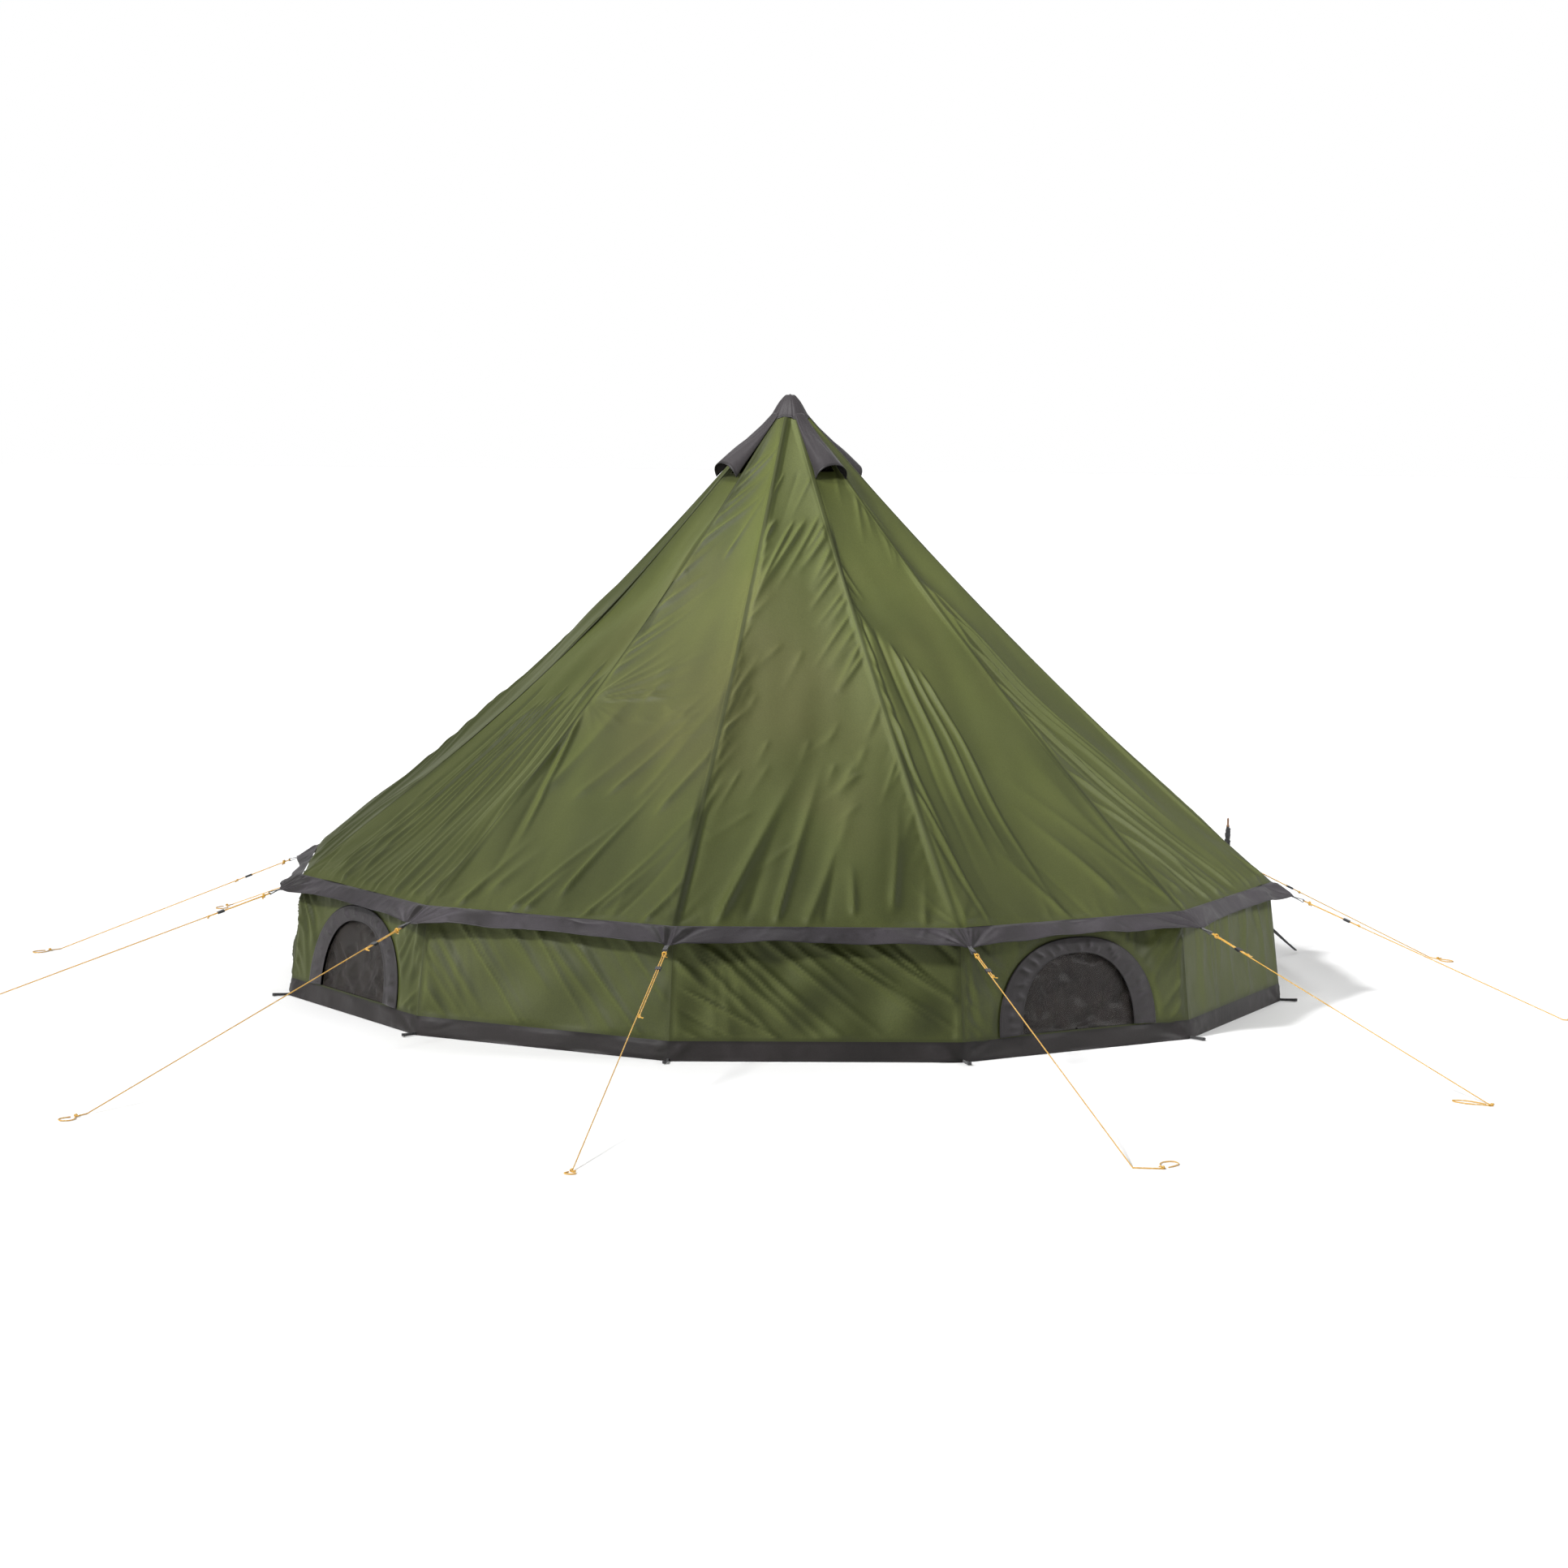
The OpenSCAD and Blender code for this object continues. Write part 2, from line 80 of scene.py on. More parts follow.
CAMERA_AZIMUTH = radians(146.2)
CAMERA_DISTANCE, CAMERA_HEIGHT = 17.89, 2.735
CAMERA_PITCH, CAMERA_ROLL = 0.0976, 0.016
CAMERA_LENS = 82.24


def make_camera():
    data = bpy.data.cameras.new("camera")
    data.lens = CAMERA_LENS
    data.sensor_width = 36
    camera = add_object("camera", data)
    out = Vector((cos(CAMERA_AZIMUTH), sin(CAMERA_AZIMUTH), 0))
    forward = (-out * cos(CAMERA_PITCH) - UP * sin(CAMERA_PITCH)).normalized()
    right = forward.cross(UP).normalized()
    facing = Matrix((right, right.cross(forward), -forward)).transposed().to_4x4()
    place = out * CAMERA_DISTANCE + UP * CAMERA_HEIGHT
    camera.matrix_world = Matrix.Translation(place) @ facing @ Matrix.Rotation(CAMERA_ROLL, 4, "Z")
    bpy.context.scene.camera = camera


make_camera()

# ---- node materials


class Nodes:
    """One material's node tree and the few kinds of node that these looks need."""

    def __init__(self, name):
        self.material = bpy.data.materials.new(name)
        self.material.use_nodes = True
        self.tree = self.material.node_tree
        self.tree.nodes.clear()
        self.shader = self.add("ShaderNodeBsdfPrincipled")
        self.add("ShaderNodeOutputMaterial", {"Surface": self.shader.outputs["BSDF"]})

    def add(self, kind, sockets=None, **settings):
        node = self.tree.nodes.new(kind)
        for key, value in settings.items():
            setattr(node, key, value)
        for key, value in (sockets or {}).items():
            self.feed(node.inputs[key], value)
        return node

    def feed(self, socket, value):
        """Gives a socket another node's output or a plain value. None leaves it as it is."""
        if isinstance(value, bpy.types.NodeSocket):
            self.tree.links.new(value, socket)
        elif isinstance(value, tuple) and len(socket.default_value) == 4:
            socket.default_value = (*value, 1)
        elif value is not None:
            socket.default_value = value

    def set(self, **values):
        for key, value in values.items():
            self.feed(self.shader.inputs[key.replace("_", " ")], value)
        return self.material

    def math(self, operation, *values):
        return self.add("ShaderNodeMath", dict(enumerate(values)), operation=operation).outputs[0]

    def noise(self, scale, detail, roughness, stretch=(1, 1, 1)):
        """Noise from object coordinates, whose unit is the metre."""
        mapping = self.add("ShaderNodeMapping", {"Vector": self.coords(), "Scale": stretch})
        return self.add("ShaderNodeTexNoise", {"Vector": mapping.outputs[0], "Scale": scale, "Detail": detail,
                                               "Roughness": roughness}).outputs["Fac"]

    def coords(self, source="Object"):
        return self.add("ShaderNodeTexCoord").outputs[source]

    def attribute(self, name):
        return self.add("ShaderNodeAttribute", attribute_name=name).outputs["Fac"]

    def ramp(self, fac, *stops):
        """Colours at places from 0 to 1, each a (place, colour) pair."""
        node = self.add("ShaderNodeValToRGB", {"Fac": fac})
        elements = node.color_ramp.elements
        while len(elements) < len(stops):
            elements.new(0.5)
        for element, (place, colour) in zip(elements, stops):
            element.position = place
            element.color = (*colour, 1)
        return node.outputs["Color"]

    def mix(self, fac, a, b, blend="MIX"):
        return self.add("ShaderNodeMix", {0: fac, 6: a, 7: b}, data_type="RGBA", blend_type=blend).outputs[2]

    def weave(self, pitch):
        """Height of a plain weave, its warp and weft over and under each other; the pitch is in metres."""
        threads = self.add("ShaderNodeSeparateXYZ", {0: self.coords("UV")}).outputs
        waves = [self.math("SINE", self.math("MULTIPLY", threads[i], 2 * pi / pitch)) for i in (0, 1)]
        return self.math("MULTIPLY", *waves)

    def bump(self, height, strength, distance, under=None):
        return self.add("ShaderNodeBump", {"Height": height, "Strength": strength, "Distance": distance,
                                           "Normal": under}).outputs["Normal"]


BLACK, WHITE = (0, 0, 0), (1, 1, 1)
SUN_FADED_AT = (-1.03, 0.87, 1.55)  # the middle of a warmer patch on the roof
WEAVE_PITCH = 0.0012
SEAM_SHADE = 0.55
# Painted shade and highlight on fold flanks: colour multipliers from a flank that faces right (darker) to one
# that faces left (lighter).
PAINTED_FOLD_SHADES = (0.0, (0.56, 0.57, 0.50)), (0.5, (0.95, 0.94, 0.94)), (1.0, (1.40, 1.38, 1.45))


def cloth_material(name, dark, mid, light, roughness, sheen, faded=None):
    """Woven synthetic cloth: blotchy dye, fine weave, crumple too small for the mesh, darker seams, and
    painted shade and highlight on fold flanks from the tilt attribute.
    """
    m = Nodes(name)
    base = m.ramp(m.noise(1.1, 3, 0.55), (0.3, dark), (0.5, mid), (0.72, light))
    if faded:
        apart = m.add("ShaderNodeVectorMath", {0: m.coords(), 1: SUN_FADED_AT}, operation="DISTANCE")
        near = m.math("MULTIPLY_ADD", apart.outputs["Value"], -0.50, m.noise(1.7, 2, 0.5))
        base = m.mix(m.ramp(near, (0.02, BLACK), (0.44, (0.60, 0.60, 0.60))), base, faded)
    base = m.mix(0.10, base, m.ramp(m.noise(160, 2, 0.6), (0.3, BLACK), (0.7, WHITE)), "OVERLAY")
    base = m.mix(m.attribute("seam"), base, tuple(c * SEAM_SHADE for c in dark))
    # Painted shade and highlight: the tilt attribute picks a multiplier that darkens right-facing flanks and
    # lightens left-facing ones.
    painted_shade = m.math("MULTIPLY_ADD", m.attribute("tilt"), 0.5, 0.5)
    crumple = m.bump(m.noise(15, 5, 0.55, (1, 1, 0.45)), 0.24, 0.008)
    stitched = m.bump(m.attribute("stitch"), 0.5, 0.0015, crumple)
    return m.set(Base_Color=m.mix(1.0, base, m.ramp(painted_shade, *PAINTED_FOLD_SHADES), "MULTIPLY"),
                 Roughness=m.math("MULTIPLY_ADD", m.noise(9, 3, 0.6), 0.14, roughness - 0.07),
                 Sheen_Weight=sheen, Sheen_Roughness=0.4, Specular_IOR_Level=0.21,
                 Normal=m.bump(m.weave(WEAVE_PITCH), 0.12, 0.0003, stitched))


def webbing_material():
    m = Nodes("webbing")
    rib = m.math("SINE", m.math("MULTIPLY", m.noise(420, 1, 0.4, (1, 1, 3)), 30))
    base = m.ramp(m.noise(60, 3, 0.6), (0.3, (0.006, 0.006, 0.007)), (0.7, (0.028, 0.028, 0.03)))
    return m.set(Base_Color=base, Roughness=0.72, Sheen_Weight=0.25, Sheen_Roughness=0.5,
                 Normal=m.bump(rib, 0.4, 0.0006))


def cord_material():
    """Braided orange cord with pale reflective flecks."""
    m = Nodes("guy_cord")
    braid = m.noise(330, 2, 0.5)
    fleck = m.ramp(m.noise(90, 1, 0.4), (0.62, BLACK), (0.68, WHITE))
    base = m.ramp(braid, (0.3, (0.40, 0.19, 0.011)), (0.6, (0.60, 0.335, 0.026)))
    return m.set(Base_Color=m.mix(fleck, base, (0.58, 0.42, 0.18)), Roughness=0.6, Sheen_Weight=0.2,
                 Sheen_Roughness=0.5, Normal=m.bump(braid, 0.6, 0.0008))


def mesh_material():
    """Fine insect mesh: dark threads, partly see-through."""
    m = Nodes("mesh")
    threads = m.ramp(m.noise(14, 3, 0.6), (0.3, (0.010, 0.008, 0.0065)), (0.7, (0.027, 0.021, 0.0165)))
    return m.set(Base_Color=threads, Roughness=0.6, Alpha=0.42, Sheen_Weight=0.05, Sheen_Roughness=0.4,
                 Specular_IOR_Level=0.25, Normal=m.bump(m.weave(0.002), 0.5, 0.0004))


def hard_material(name, colour, roughness, metallic=0.0, wear=0.3, scale=40, bump=0.05):
    """Plastic, rubber, zip or metal with uneven gloss, fine scratches and slightly varied colour."""
    m = Nodes(name)
    pale = tuple(min(1, c * (1 + wear) + 0.01 * wear) for c in colour)
    return m.set(Base_Color=m.ramp(m.noise(scale, 4, 0.6), (0.35, colour), (0.75, pale)), Metallic=metallic,
                 Roughness=m.math("MULTIPLY_ADD", m.noise(scale * 3, 3, 0.6), 0.25, roughness - 0.12),
                 Normal=m.bump(m.noise(scale * 12, 2, 0.5), bump, 0.0005))


CANOPY = cloth_material("canopy_cloth", (0.039, 0.0465, 0.0116), (0.0455, 0.054, 0.0138),
                        (0.0525, 0.061, 0.0170), 0.55, 0.0, faded=(0.056, 0.055, 0.0180))
TRIM = cloth_material("trim_cloth", (0.020, 0.018, 0.0195), (0.027, 0.024, 0.026), (0.036, 0.0325, 0.035),
                      0.52, 0.06)
FLOOR = cloth_material("floor_cloth", (0.012, 0.0104, 0.0103), (0.0165, 0.0142, 0.014), (0.022, 0.019, 0.019),
                       0.55, 0.03)
COVER = cloth_material("cover_cloth", (0.012, 0.010, 0.010), (0.019, 0.016, 0.016), (0.030, 0.026, 0.026),
                       0.42, 0.08)
MESH = mesh_material()
WEBBING = webbing_material()
CORD = cord_material()
STEEL = hard_material("steel_tube", (0.42, 0.43, 0.44), 0.35, 1.0, 0.25, 25, 0.04)
DARK_TUBE = hard_material("dark_tube", (0.02, 0.021, 0.022), 0.4, 0.0, 0.6, 50)
PLASTIC = hard_material("black_plastic", (0.013, 0.013, 0.014), 0.45, 0.0, 0.8, 60)
RUBBER = hard_material("foot_rubber", (0.018, 0.018, 0.018), 0.75, 0.0, 0.5, 50, 0.12)
BROWN = hard_material("brown_plastic", (0.14, 0.065, 0.025), 0.45, 0.0, 0.5, 60)
ZIP = hard_material("zip", (0.014, 0.014, 0.015), 0.5, 0.0, 0.6, 80)

NODE_MATERIALS = {
    "zip_slider_left": ZIP, "zip_slider_right": ZIP, "pole_foot": RUBBER, "pole_lower": STEEL,
    "pole_middle": STEEL, "pole_upper": STEEL, "pole_top_cap": PLASTIC, "door_upright_left": DARK_TUBE,
    "door_upright_right": DARK_TUBE, "upright_tips": BROWN,
    **{f"guy_slider_{k + 1:02d}": PLASTIC for k in range(SIDES)},
}
for node_name, material in NODE_MATERIALS.items():
    nodes[node_name].data.materials.clear()
    nodes[node_name].data.materials.append(material)

# ---- helpers for sheets and cords


def smooth_step(low, high, x):
    t = np.clip((x - low) / (high - low), 0, 1)
    return t * t * (3 - 2 * t)


class Ripples:
    """Smooth seeded noise over a plane: a sum of waves with random directions, about -1 to 1."""

    def __init__(self, seed, wavelength, waves=14):
        rng = np.random.RandomState(seed)
        angle = rng.uniform(0, 2 * pi, waves)
        k = 2 * pi / wavelength * rng.uniform(0.55, 1.45, waves)
        self.kx, self.ky = k * np.cos(angle), k * np.sin(angle)
        self.phase = rng.uniform(0, 2 * pi, waves)
        self.scale = 1.6 / sqrt(waves)

    def __call__(self, x, y):
        total = np.zeros(np.broadcast(x, y).shape)
        for kx, ky, phase in zip(self.kx, self.ky, self.phase):
            total += np.sin(kx * x + ky * y + phase)
        return total * self.scale


def cloth_facts(made, node, slot, **sheet):
    """Hides the CAD node that a sheet replaces. The sheet, its material slot and its facts as cloth are not
    used.
    """
    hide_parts(node)


def joined(strips):
    """Strips of one sheet set side by side, each a list of grids in sheet_object's order."""
    return [np.concatenate(grids, 1) for grids in zip(*strips)]


def sheet_object(name, material, body, points, uv, seam=None, stitch=None, tilt=None, keep=None,
                 thickness=0.0):
    """A cloth sheet from a grid of points (rows x columns x 3). keep marks the quads to make."""
    rows, cols = points.shape[:2]
    index = np.arange(rows * cols).reshape(rows, cols)
    quads = np.stack([index[:-1, :-1], index[1:, :-1], index[1:, 1:], index[:-1, 1:]], -1)
    quads = quads[keep] if keep is not None else quads.reshape(-1, 4)
    used = np.unique(quads)
    renumber = np.full(rows * cols, -1)
    renumber[used] = np.arange(len(used))
    quads = renumber[quads]
    data = bpy.data.meshes.new(name)
    data.vertices.add(len(used))
    data.vertices.foreach_set("co", points.reshape(-1, 3)[used].astype(np.float32).ravel())
    data.loops.add(quads.size)
    data.loops.foreach_set("vertex_index", quads.astype(np.int32).ravel())
    data.polygons.add(len(quads))
    data.polygons.foreach_set("loop_start", np.arange(0, quads.size, 4, dtype=np.int32))
    data.update(calc_edges=True)
    data.polygons.foreach_set("use_smooth", np.ones(len(quads), bool))
    flat = uv.reshape(-1, 2)[used][quads.ravel()]
    data.uv_layers.new(name="uv").data.foreach_set("uv", flat.astype(np.float32).ravel())
    for key, values in (("seam", seam), ("stitch", stitch), ("tilt", tilt)):
        values = np.zeros((rows, cols)) if values is None else values
        attribute = data.attributes.new(key, "FLOAT", "POINT")
        attribute.data.foreach_set("value", values.reshape(-1)[used].astype(np.float32))
    data.materials.append(material)
    made = add_object(name, data, body)
    if thickness:
        solid = made.modifiers.new("thickness", "SOLIDIFY")
        solid.thickness = thickness
        solid.offset = 0
    return made


def block_object(name, vertices, faces, material, body="tent"):
    """A flat-shaded mesh from lists of points and faces."""
    data = bpy.data.meshes.new(name)
    data.from_pydata([tuple(v) for v in vertices], [], faces)
    data.update()
    data.materials.append(material)
    return add_object(name, data, body)


def facet(angle):
    """How far out a twelve-sided outline is at that azimuth, as a share of its corners' radius."""
    return COS_HALF / np.cos((angle + HALF) % STEP - HALF)


def turned(points, panel):
    """The points of the panel that faces +X, moved to another panel."""
    c, s = cos(panel * STEP), sin(panel * STEP)
    x, y, z = points[..., 0], points[..., 1], points[..., 2]
    return np.stack([c * x - s * y, s * x + c * y, z], -1)


def corner_ways(k):
    """Unit vectors out of a corner and along its rim."""
    corner = HALF + k * STEP
    out = Vector((cos(corner), sin(corner), 0))
    return out, Vector((-out.y, out.x, 0))


def quad_centres(grid):
    return 0.25 * (grid[1:, 1:] + grid[:-1, 1:] + grid[1:, :-1] + grid[:-1, :-1])


# ---- guy lines

# For each corner, counted round from the one at 15 degrees: the radius where the line meets the ground, its
# splay in degrees, the slider's distance from the eave tab, the knot and the loop's tip as (outward,
# sideways) from that meeting point, the loop's width, and how far the strand reaches past the slider.
GUYS = [
    (3.98, 3.4, 0.22, (-0.01, 0.06), (-0.06, 0.19), 0.06, 0.07),
    (3.80, 2.2, 0.20, (0.04, 0.06), (0.10, 0.15), 0.06, 0.07),
    (4.08, 1.4, 0.22, (0.06, 0.01), (0.15, 0.03), 0.06, 0.07),
    (4.74, 5.8, 0.18, (0.07, 0.0), (0.17, 0.01), 0.06, 0.07),
    (4.87, 2.2, 0.18, (0.02, 0.0), (0.07, 0.0), 0.045, 0.56),
    (4.79, -2.6, 0.18, (0.03, 0.11), (-0.09, 0.19), 0.07, 0.07),
    (4.32, -5.7, 0.16, (0.05, -0.02), (-0.12, -0.08), 0.06, 0.07),
    (3.86, -2.9, 0.20, (0.03, 0.0), (0.09, -0.01), 0.05, 0.07),
    (3.63, -1.5, 0.22, (0.02, -0.06), (0.05, -0.17), 0.06, 0.07),
    (3.90, 2.0, 0.20, (0.04, 0.02), (0.12, 0.05), 0.06, 0.07),
    (3.90, -2.0, 0.22, (0.04, -0.02), (0.12, -0.05), 0.06, 0.07),
    (3.90, 2.5, 0.20, (0.04, 0.02), (0.11, 0.06), 0.06, 0.07),
]
LOOP_OUTLINE = [(0, 0), (0.15, 0.12), (0.35, 0.33), (0.6, 0.48), (0.82, 0.42), (0.95, 0.22), (1, 0),
                (0.95, -0.22), (0.82, -0.42), (0.6, -0.48), (0.35, -0.33), (0.2, -0.2)]
STRAND_OFFSET = 0.009
TAB_REACH, TAB_DROP = 0.057, 0.021      # where the cord turns in an eave tab, from the valance's corner
KNOT_BEYOND = 0.014                     # room that keeps a slider off its stopper knot
COIL_STEPS = 14


def catmull(points, steps):
    """A smooth line through the points."""
    p = [points[0] * 2 - points[1], *points, points[-1] * 2 - points[-2]]
    line = []
    for i in range(1, len(p) - 2):
        for j in range(steps):
            t = j / steps
            line.append(0.5 * ((2 * p[i]) + (p[i + 1] - p[i - 1]) * t
                               + (2 * p[i - 1] - 5 * p[i] + 4 * p[i + 1] - p[i + 2]) * t * t
                               + (3 * p[i] - p[i - 1] - 3 * p[i + 1] + p[i + 2]) * t ** 3))
    line.append(points[-1])
    return line


def cord_curve(name, line):
    data = bpy.data.curves.new(name, "CURVE")
    data.dimensions = "3D"
    data.bevel_depth = CORD_D / 2
    data.bevel_resolution = 3
    data.use_fill_caps = True
    spline = data.splines.new("POLY")
    spline.points.add(len(line) - 1)
    for point, place in zip(spline.points, line):
        point.co = (*place, 1)
    data.materials.append(CORD)
    made = add_object(name, data, "tent")
    return made


def coil(name, centre, ahead, radius, turns, tail, pitch=0.0050):
    """A cord wound round a line, with a short tail pointing off it."""
    side = ahead.cross(UP).normalized()
    above = side.cross(ahead)
    line = []
    for i in range(int(turns * COIL_STEPS) + 1):
        angle = 2 * pi * i / COIL_STEPS
        line.append(centre + ahead * (pitch * i / COIL_STEPS)
                    + radius * (cos(angle) * side + sin(angle) * above))
    last = line[-1]
    return cord_curve(name, line + [last + tail * 0.4, last + tail * 0.75 + ahead * 0.003, last + tail])


def make_guy(k):
    radius, splay, slider, knot_at, tip_at, width, past = GUYS[k]
    number = f"{k + 1:02d}"
    corner = HALF + k * STEP
    azimuth = corner + radians(splay)
    tab_r = TIP_R + TAB_REACH
    start = Vector((tab_r * cos(corner), tab_r * sin(corner), TIP_H - TAB_DROP))
    meet = Vector((radius * cos(azimuth), radius * sin(azimuth), CORD_D / 2 + 0.0001))
    ahead = (meet - start).normalized()
    outward = Vector((ahead.x, ahead.y, 0)).normalized()
    sideways = Vector((-outward.y, outward.x, 0))
    knot = meet + knot_at[0] * outward + knot_at[1] * sideways
    reach = meet + tip_at[0] * outward + tip_at[1] * sideways - knot
    across = Vector((-reach.y, reach.x, 0)).normalized()
    loop = [knot + p * reach + q * width * across for p, q in LOOP_OUTLINE]
    line = [start.lerp(meet, t) for t in (0, 0.2, 0.4, 0.6, 0.8, 0.97)] + catmull([meet, *loop], 5)
    cord = cord_curve(f"guy_cord_{number}", line)
    # The cord turns back through the tab and comes down beside itself to the slider, where it ends in a knot.
    aside = UP.cross(ahead).normalized() * STRAND_OFFSET
    end = slider + past + KNOT_BEYOND
    back = ahead * 0.013
    middle = start + aside / 2 - back
    bend = [middle - aside / 2 * cos(angle) - ahead * (STRAND_OFFSET / 2 * sin(angle))
            for angle in (pi * i / 8 for i in range(1, 8))]
    down = Vector((0, 0, -0.012))
    pieces = [
        cord_curve(f"guy_strand_{number}", [start + aside + ahead * t for t in (0.004, end)]),
        cord_curve(f"guy_turn_{number}",
                   [start, start - back, *bend, start - back + aside, start + aside + ahead * 0.006]),
        coil(f"guy_binding_{number}", start + aside / 2 + ahead * 0.012, ahead, 0.0085, 2,
             sideways * 0.022 + down, 0.0055),
        coil(f"guy_stopper_{number}", start + aside + ahead * (end - 0.008), ahead, 0.0040, 2,
             aside.normalized() * 0.022 + down * 0.4),
        coil(f"guy_end_knot_{number}", knot + UP * 0.0040 - reach.normalized() * 0.006, reach.normalized(),
             0.0040, 2.5, across * 0.014),
    ]
    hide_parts(f"guy_line_{number}")


for corner_number in range(SIDES):
    make_guy(corner_number)

# ---- folds laid one by one on a panel


class Folds:
    """Heights of the folds on a flat panel. y runs across the panel and s down it, both in metres. half_at
    gives the half width at a place down the panel, which combs of folds need."""

    def __init__(self, y, s, seed, half_at=None):
        self.y, self.s, self.half_at = y, s, half_at
        self.height = np.zeros(y.shape)
        self.rng = np.random.RandomState(seed)

    def stroke(self, start, angle, length, width, height, spread=2.0, bend=0.0):
        """One fold from a point. The angle is from straight down, towards +y; the fold widens by spread."""
        dy, ds = sin(angle), cos(angle)
        py, ps = self.y - start[0], self.s - start[1]
        along = (py * dy + ps * ds) / length
        away = py * ds - ps * dy - bend * length * along * (1 - along)
        t = np.clip(along, 0, 1)
        wide = width * (1 + (spread - 1) * t)
        window = smooth_step(0, min(0.06 + 5 * abs(height), 0.3 * length), t * length) * (1 - t) ** 0.9
        self.height += height * window * np.exp(-np.abs(away / wide) ** 1.6)

    def several(self, starts, angles, lengths, width, height, spread=2.0, bend=0.05):
        for start, angle, length in zip(starts, angles, lengths):
            sign = 1 if self.rng.rand() < 0.8 else -0.4
            self.stroke(start, angle, length, width * self.rng.uniform(0.7, 1.4),
                        sign * height * self.rng.uniform(0.6, 1.1), spread, self.rng.uniform(-bend, bend))

    def fan(self, start, low, high, count, length, width, height, spread=3.5):
        """Folds that spread from one pinned point, between two angles in degrees."""
        angles = np.radians(np.linspace(low, high, count) + self.rng.uniform(-2.5, 2.5, count))
        lengths = length * self.rng.uniform(0.55, 1.1, count)
        self.several([start] * count, angles, lengths, width, height, spread)

    def comb(self, side, s_from, s_to, spacing, angle, length, width, height, spread=1.8):
        """Folds that start along a side seam (-1 or 1) and run at an angle, in degrees."""
        count = max(1, int((s_to - s_from) / spacing))
        s = np.linspace(s_from, s_to, count) + self.rng.uniform(-0.3, 0.3, count) * spacing
        angles = np.radians(angle + self.rng.uniform(-7, 7, count))
        lengths = length * self.rng.uniform(0.45, 1.15, count)
        self.several([(side * self.half_at(x), x) for x in s], angles, lengths, width, height, spread)

    def row(self, s, y_from, y_to, spacing, angle, length, width, height, spread=1.6):
        """Folds that start along a line across the panel."""
        count = max(1, int(abs(y_to - y_from) / spacing))
        y = np.linspace(y_from, y_to, count) + self.rng.uniform(-0.3, 0.3, count) * spacing
        angles = np.radians(angle + self.rng.uniform(-8, 8, count))
        starts = [(x, s + self.rng.uniform(-0.9, 0.9) * spacing) for x in y]
        self.several(starts, angles, length * self.rng.uniform(0.4, 1.15, count), width, height, spread)


# ---- canopy


def roof_curve(r):
    t = r / EAVE_R
    return PEAK_H - (PEAK_H - EAVE_H) * t - 4 * ROOF_SAG * t * (1 - t)


def roof_straight(r):
    """The roof beside the door, drawn straight from the doorway's top to the eave."""
    t = (r - DOOR_TOP_R) / (EAVE_R - DOOR_TOP_R)
    low = roof_curve(DOOR_TOP_R) + (EAVE_H - roof_curve(DOOR_TOP_R)) * t
    return np.where(r <= DOOR_TOP_R, roof_curve(r), low)


def door_half(r):
    return DOOR_TOP_HALF_W + (DOOR_HALF_W - DOOR_TOP_HALF_W) * (r - DOOR_TOP_R) / (EAVE_R - DOOR_TOP_R)


SLOPE_R = np.linspace(0, EAVE_R, 400)
SLOPE_S = np.hypot(np.diff(SLOPE_R) * COS_HALF, np.diff(roof_curve(SLOPE_R)))
SLOPE_S = np.concatenate([[0], np.cumsum(SLOPE_S)])
SLOPE = float(SLOPE_S[-1])             # length of the roof, from its peak to the eave


def roof_half_at(s):
    return float(np.interp(s, SLOPE_S, SLOPE_R)) * SIN_HALF


def small_folds(f):
    """Puckers along both seams and the eave, and short fans at the two eave corners."""
    length = SLOPE
    for side in (-1, 1):
        for _ in range(4):
            at = f.rng.uniform(0.15, 0.9) * length
            f.comb(side, at, at + f.rng.uniform(0.15, 0.3), 0.045, -side * f.rng.uniform(25, 60),
                   0.09, 0.010, 0.0018)
        f.fan((side * roof_half_at(length), length), 180 + side * 10, 180 + side * 72, 6, 0.40, 0.009, 0.0050)
    f.row(length, -0.6, 0.6, 0.055, 180, 0.10, 0.013, 0.0024)
    f.row(length, -0.5, 0.5, 0.14, 176, 0.34, 0.018, 0.0042)


def folds_front_left(f):
    """Long fine pleats that start along a line across the middle and fan out to the whole of the eave."""
    for i in range(15):
        y = -0.21 + 0.038 * i
        f.several([(y, (0.50 + 0.14 * abs(f.rng.rand())) * SLOPE)],
                  [radians(-9 + 1.5 * i + f.rng.uniform(-2, 2))],
                  [f.rng.uniform(1.4, 1.9)], 0.010, 0.0230, 1.7, 0.01)
    f.row(SLOPE, -0.50, 0.58, 0.085, 183, 0.8, 0.013, 0.0140)


def folds_left_centre(f):
    """Star-like creases on the left seam, slanting pleats above it and two long ones beside it below."""
    star = 0.60 * SLOPE
    at = (-roof_half_at(star) + 0.01, star)
    f.fan(at, 100, 146, 5, 0.60, 0.009, 0.0150, 2.4)
    f.fan(at, 10, 80, 5, 0.30, 0.008, 0.0080)
    f.comb(-1, 0.16 * SLOPE, 0.56 * SLOPE, 0.10, 148, 0.50, 0.010, 0.0140)
    f.comb(-1, 0.60 * SLOPE, 0.72 * SLOPE, 0.10, -5, 1.60, 0.013, 0.0300, 1.4)
    f.row(0.34 * SLOPE, 0.0, 0.22, 0.08, 162, 0.55, 0.012, 0.0100)
    f.row(0.80 * SLOPE, -0.35, 0.45, 0.13, 155, 0.9, 0.022, 0.0130)
    f.row(SLOPE, -0.5, 0.6, 0.11, 158, 0.9, 0.018, 0.0190)
    for _ in range(12):
        f.stroke((f.rng.uniform(-0.12, 0.2), f.rng.uniform(0.55, 0.68) * SLOPE),
                 radians(f.rng.uniform(60, 160)), f.rng.uniform(0.20, 0.34), 0.016, 0.0055)


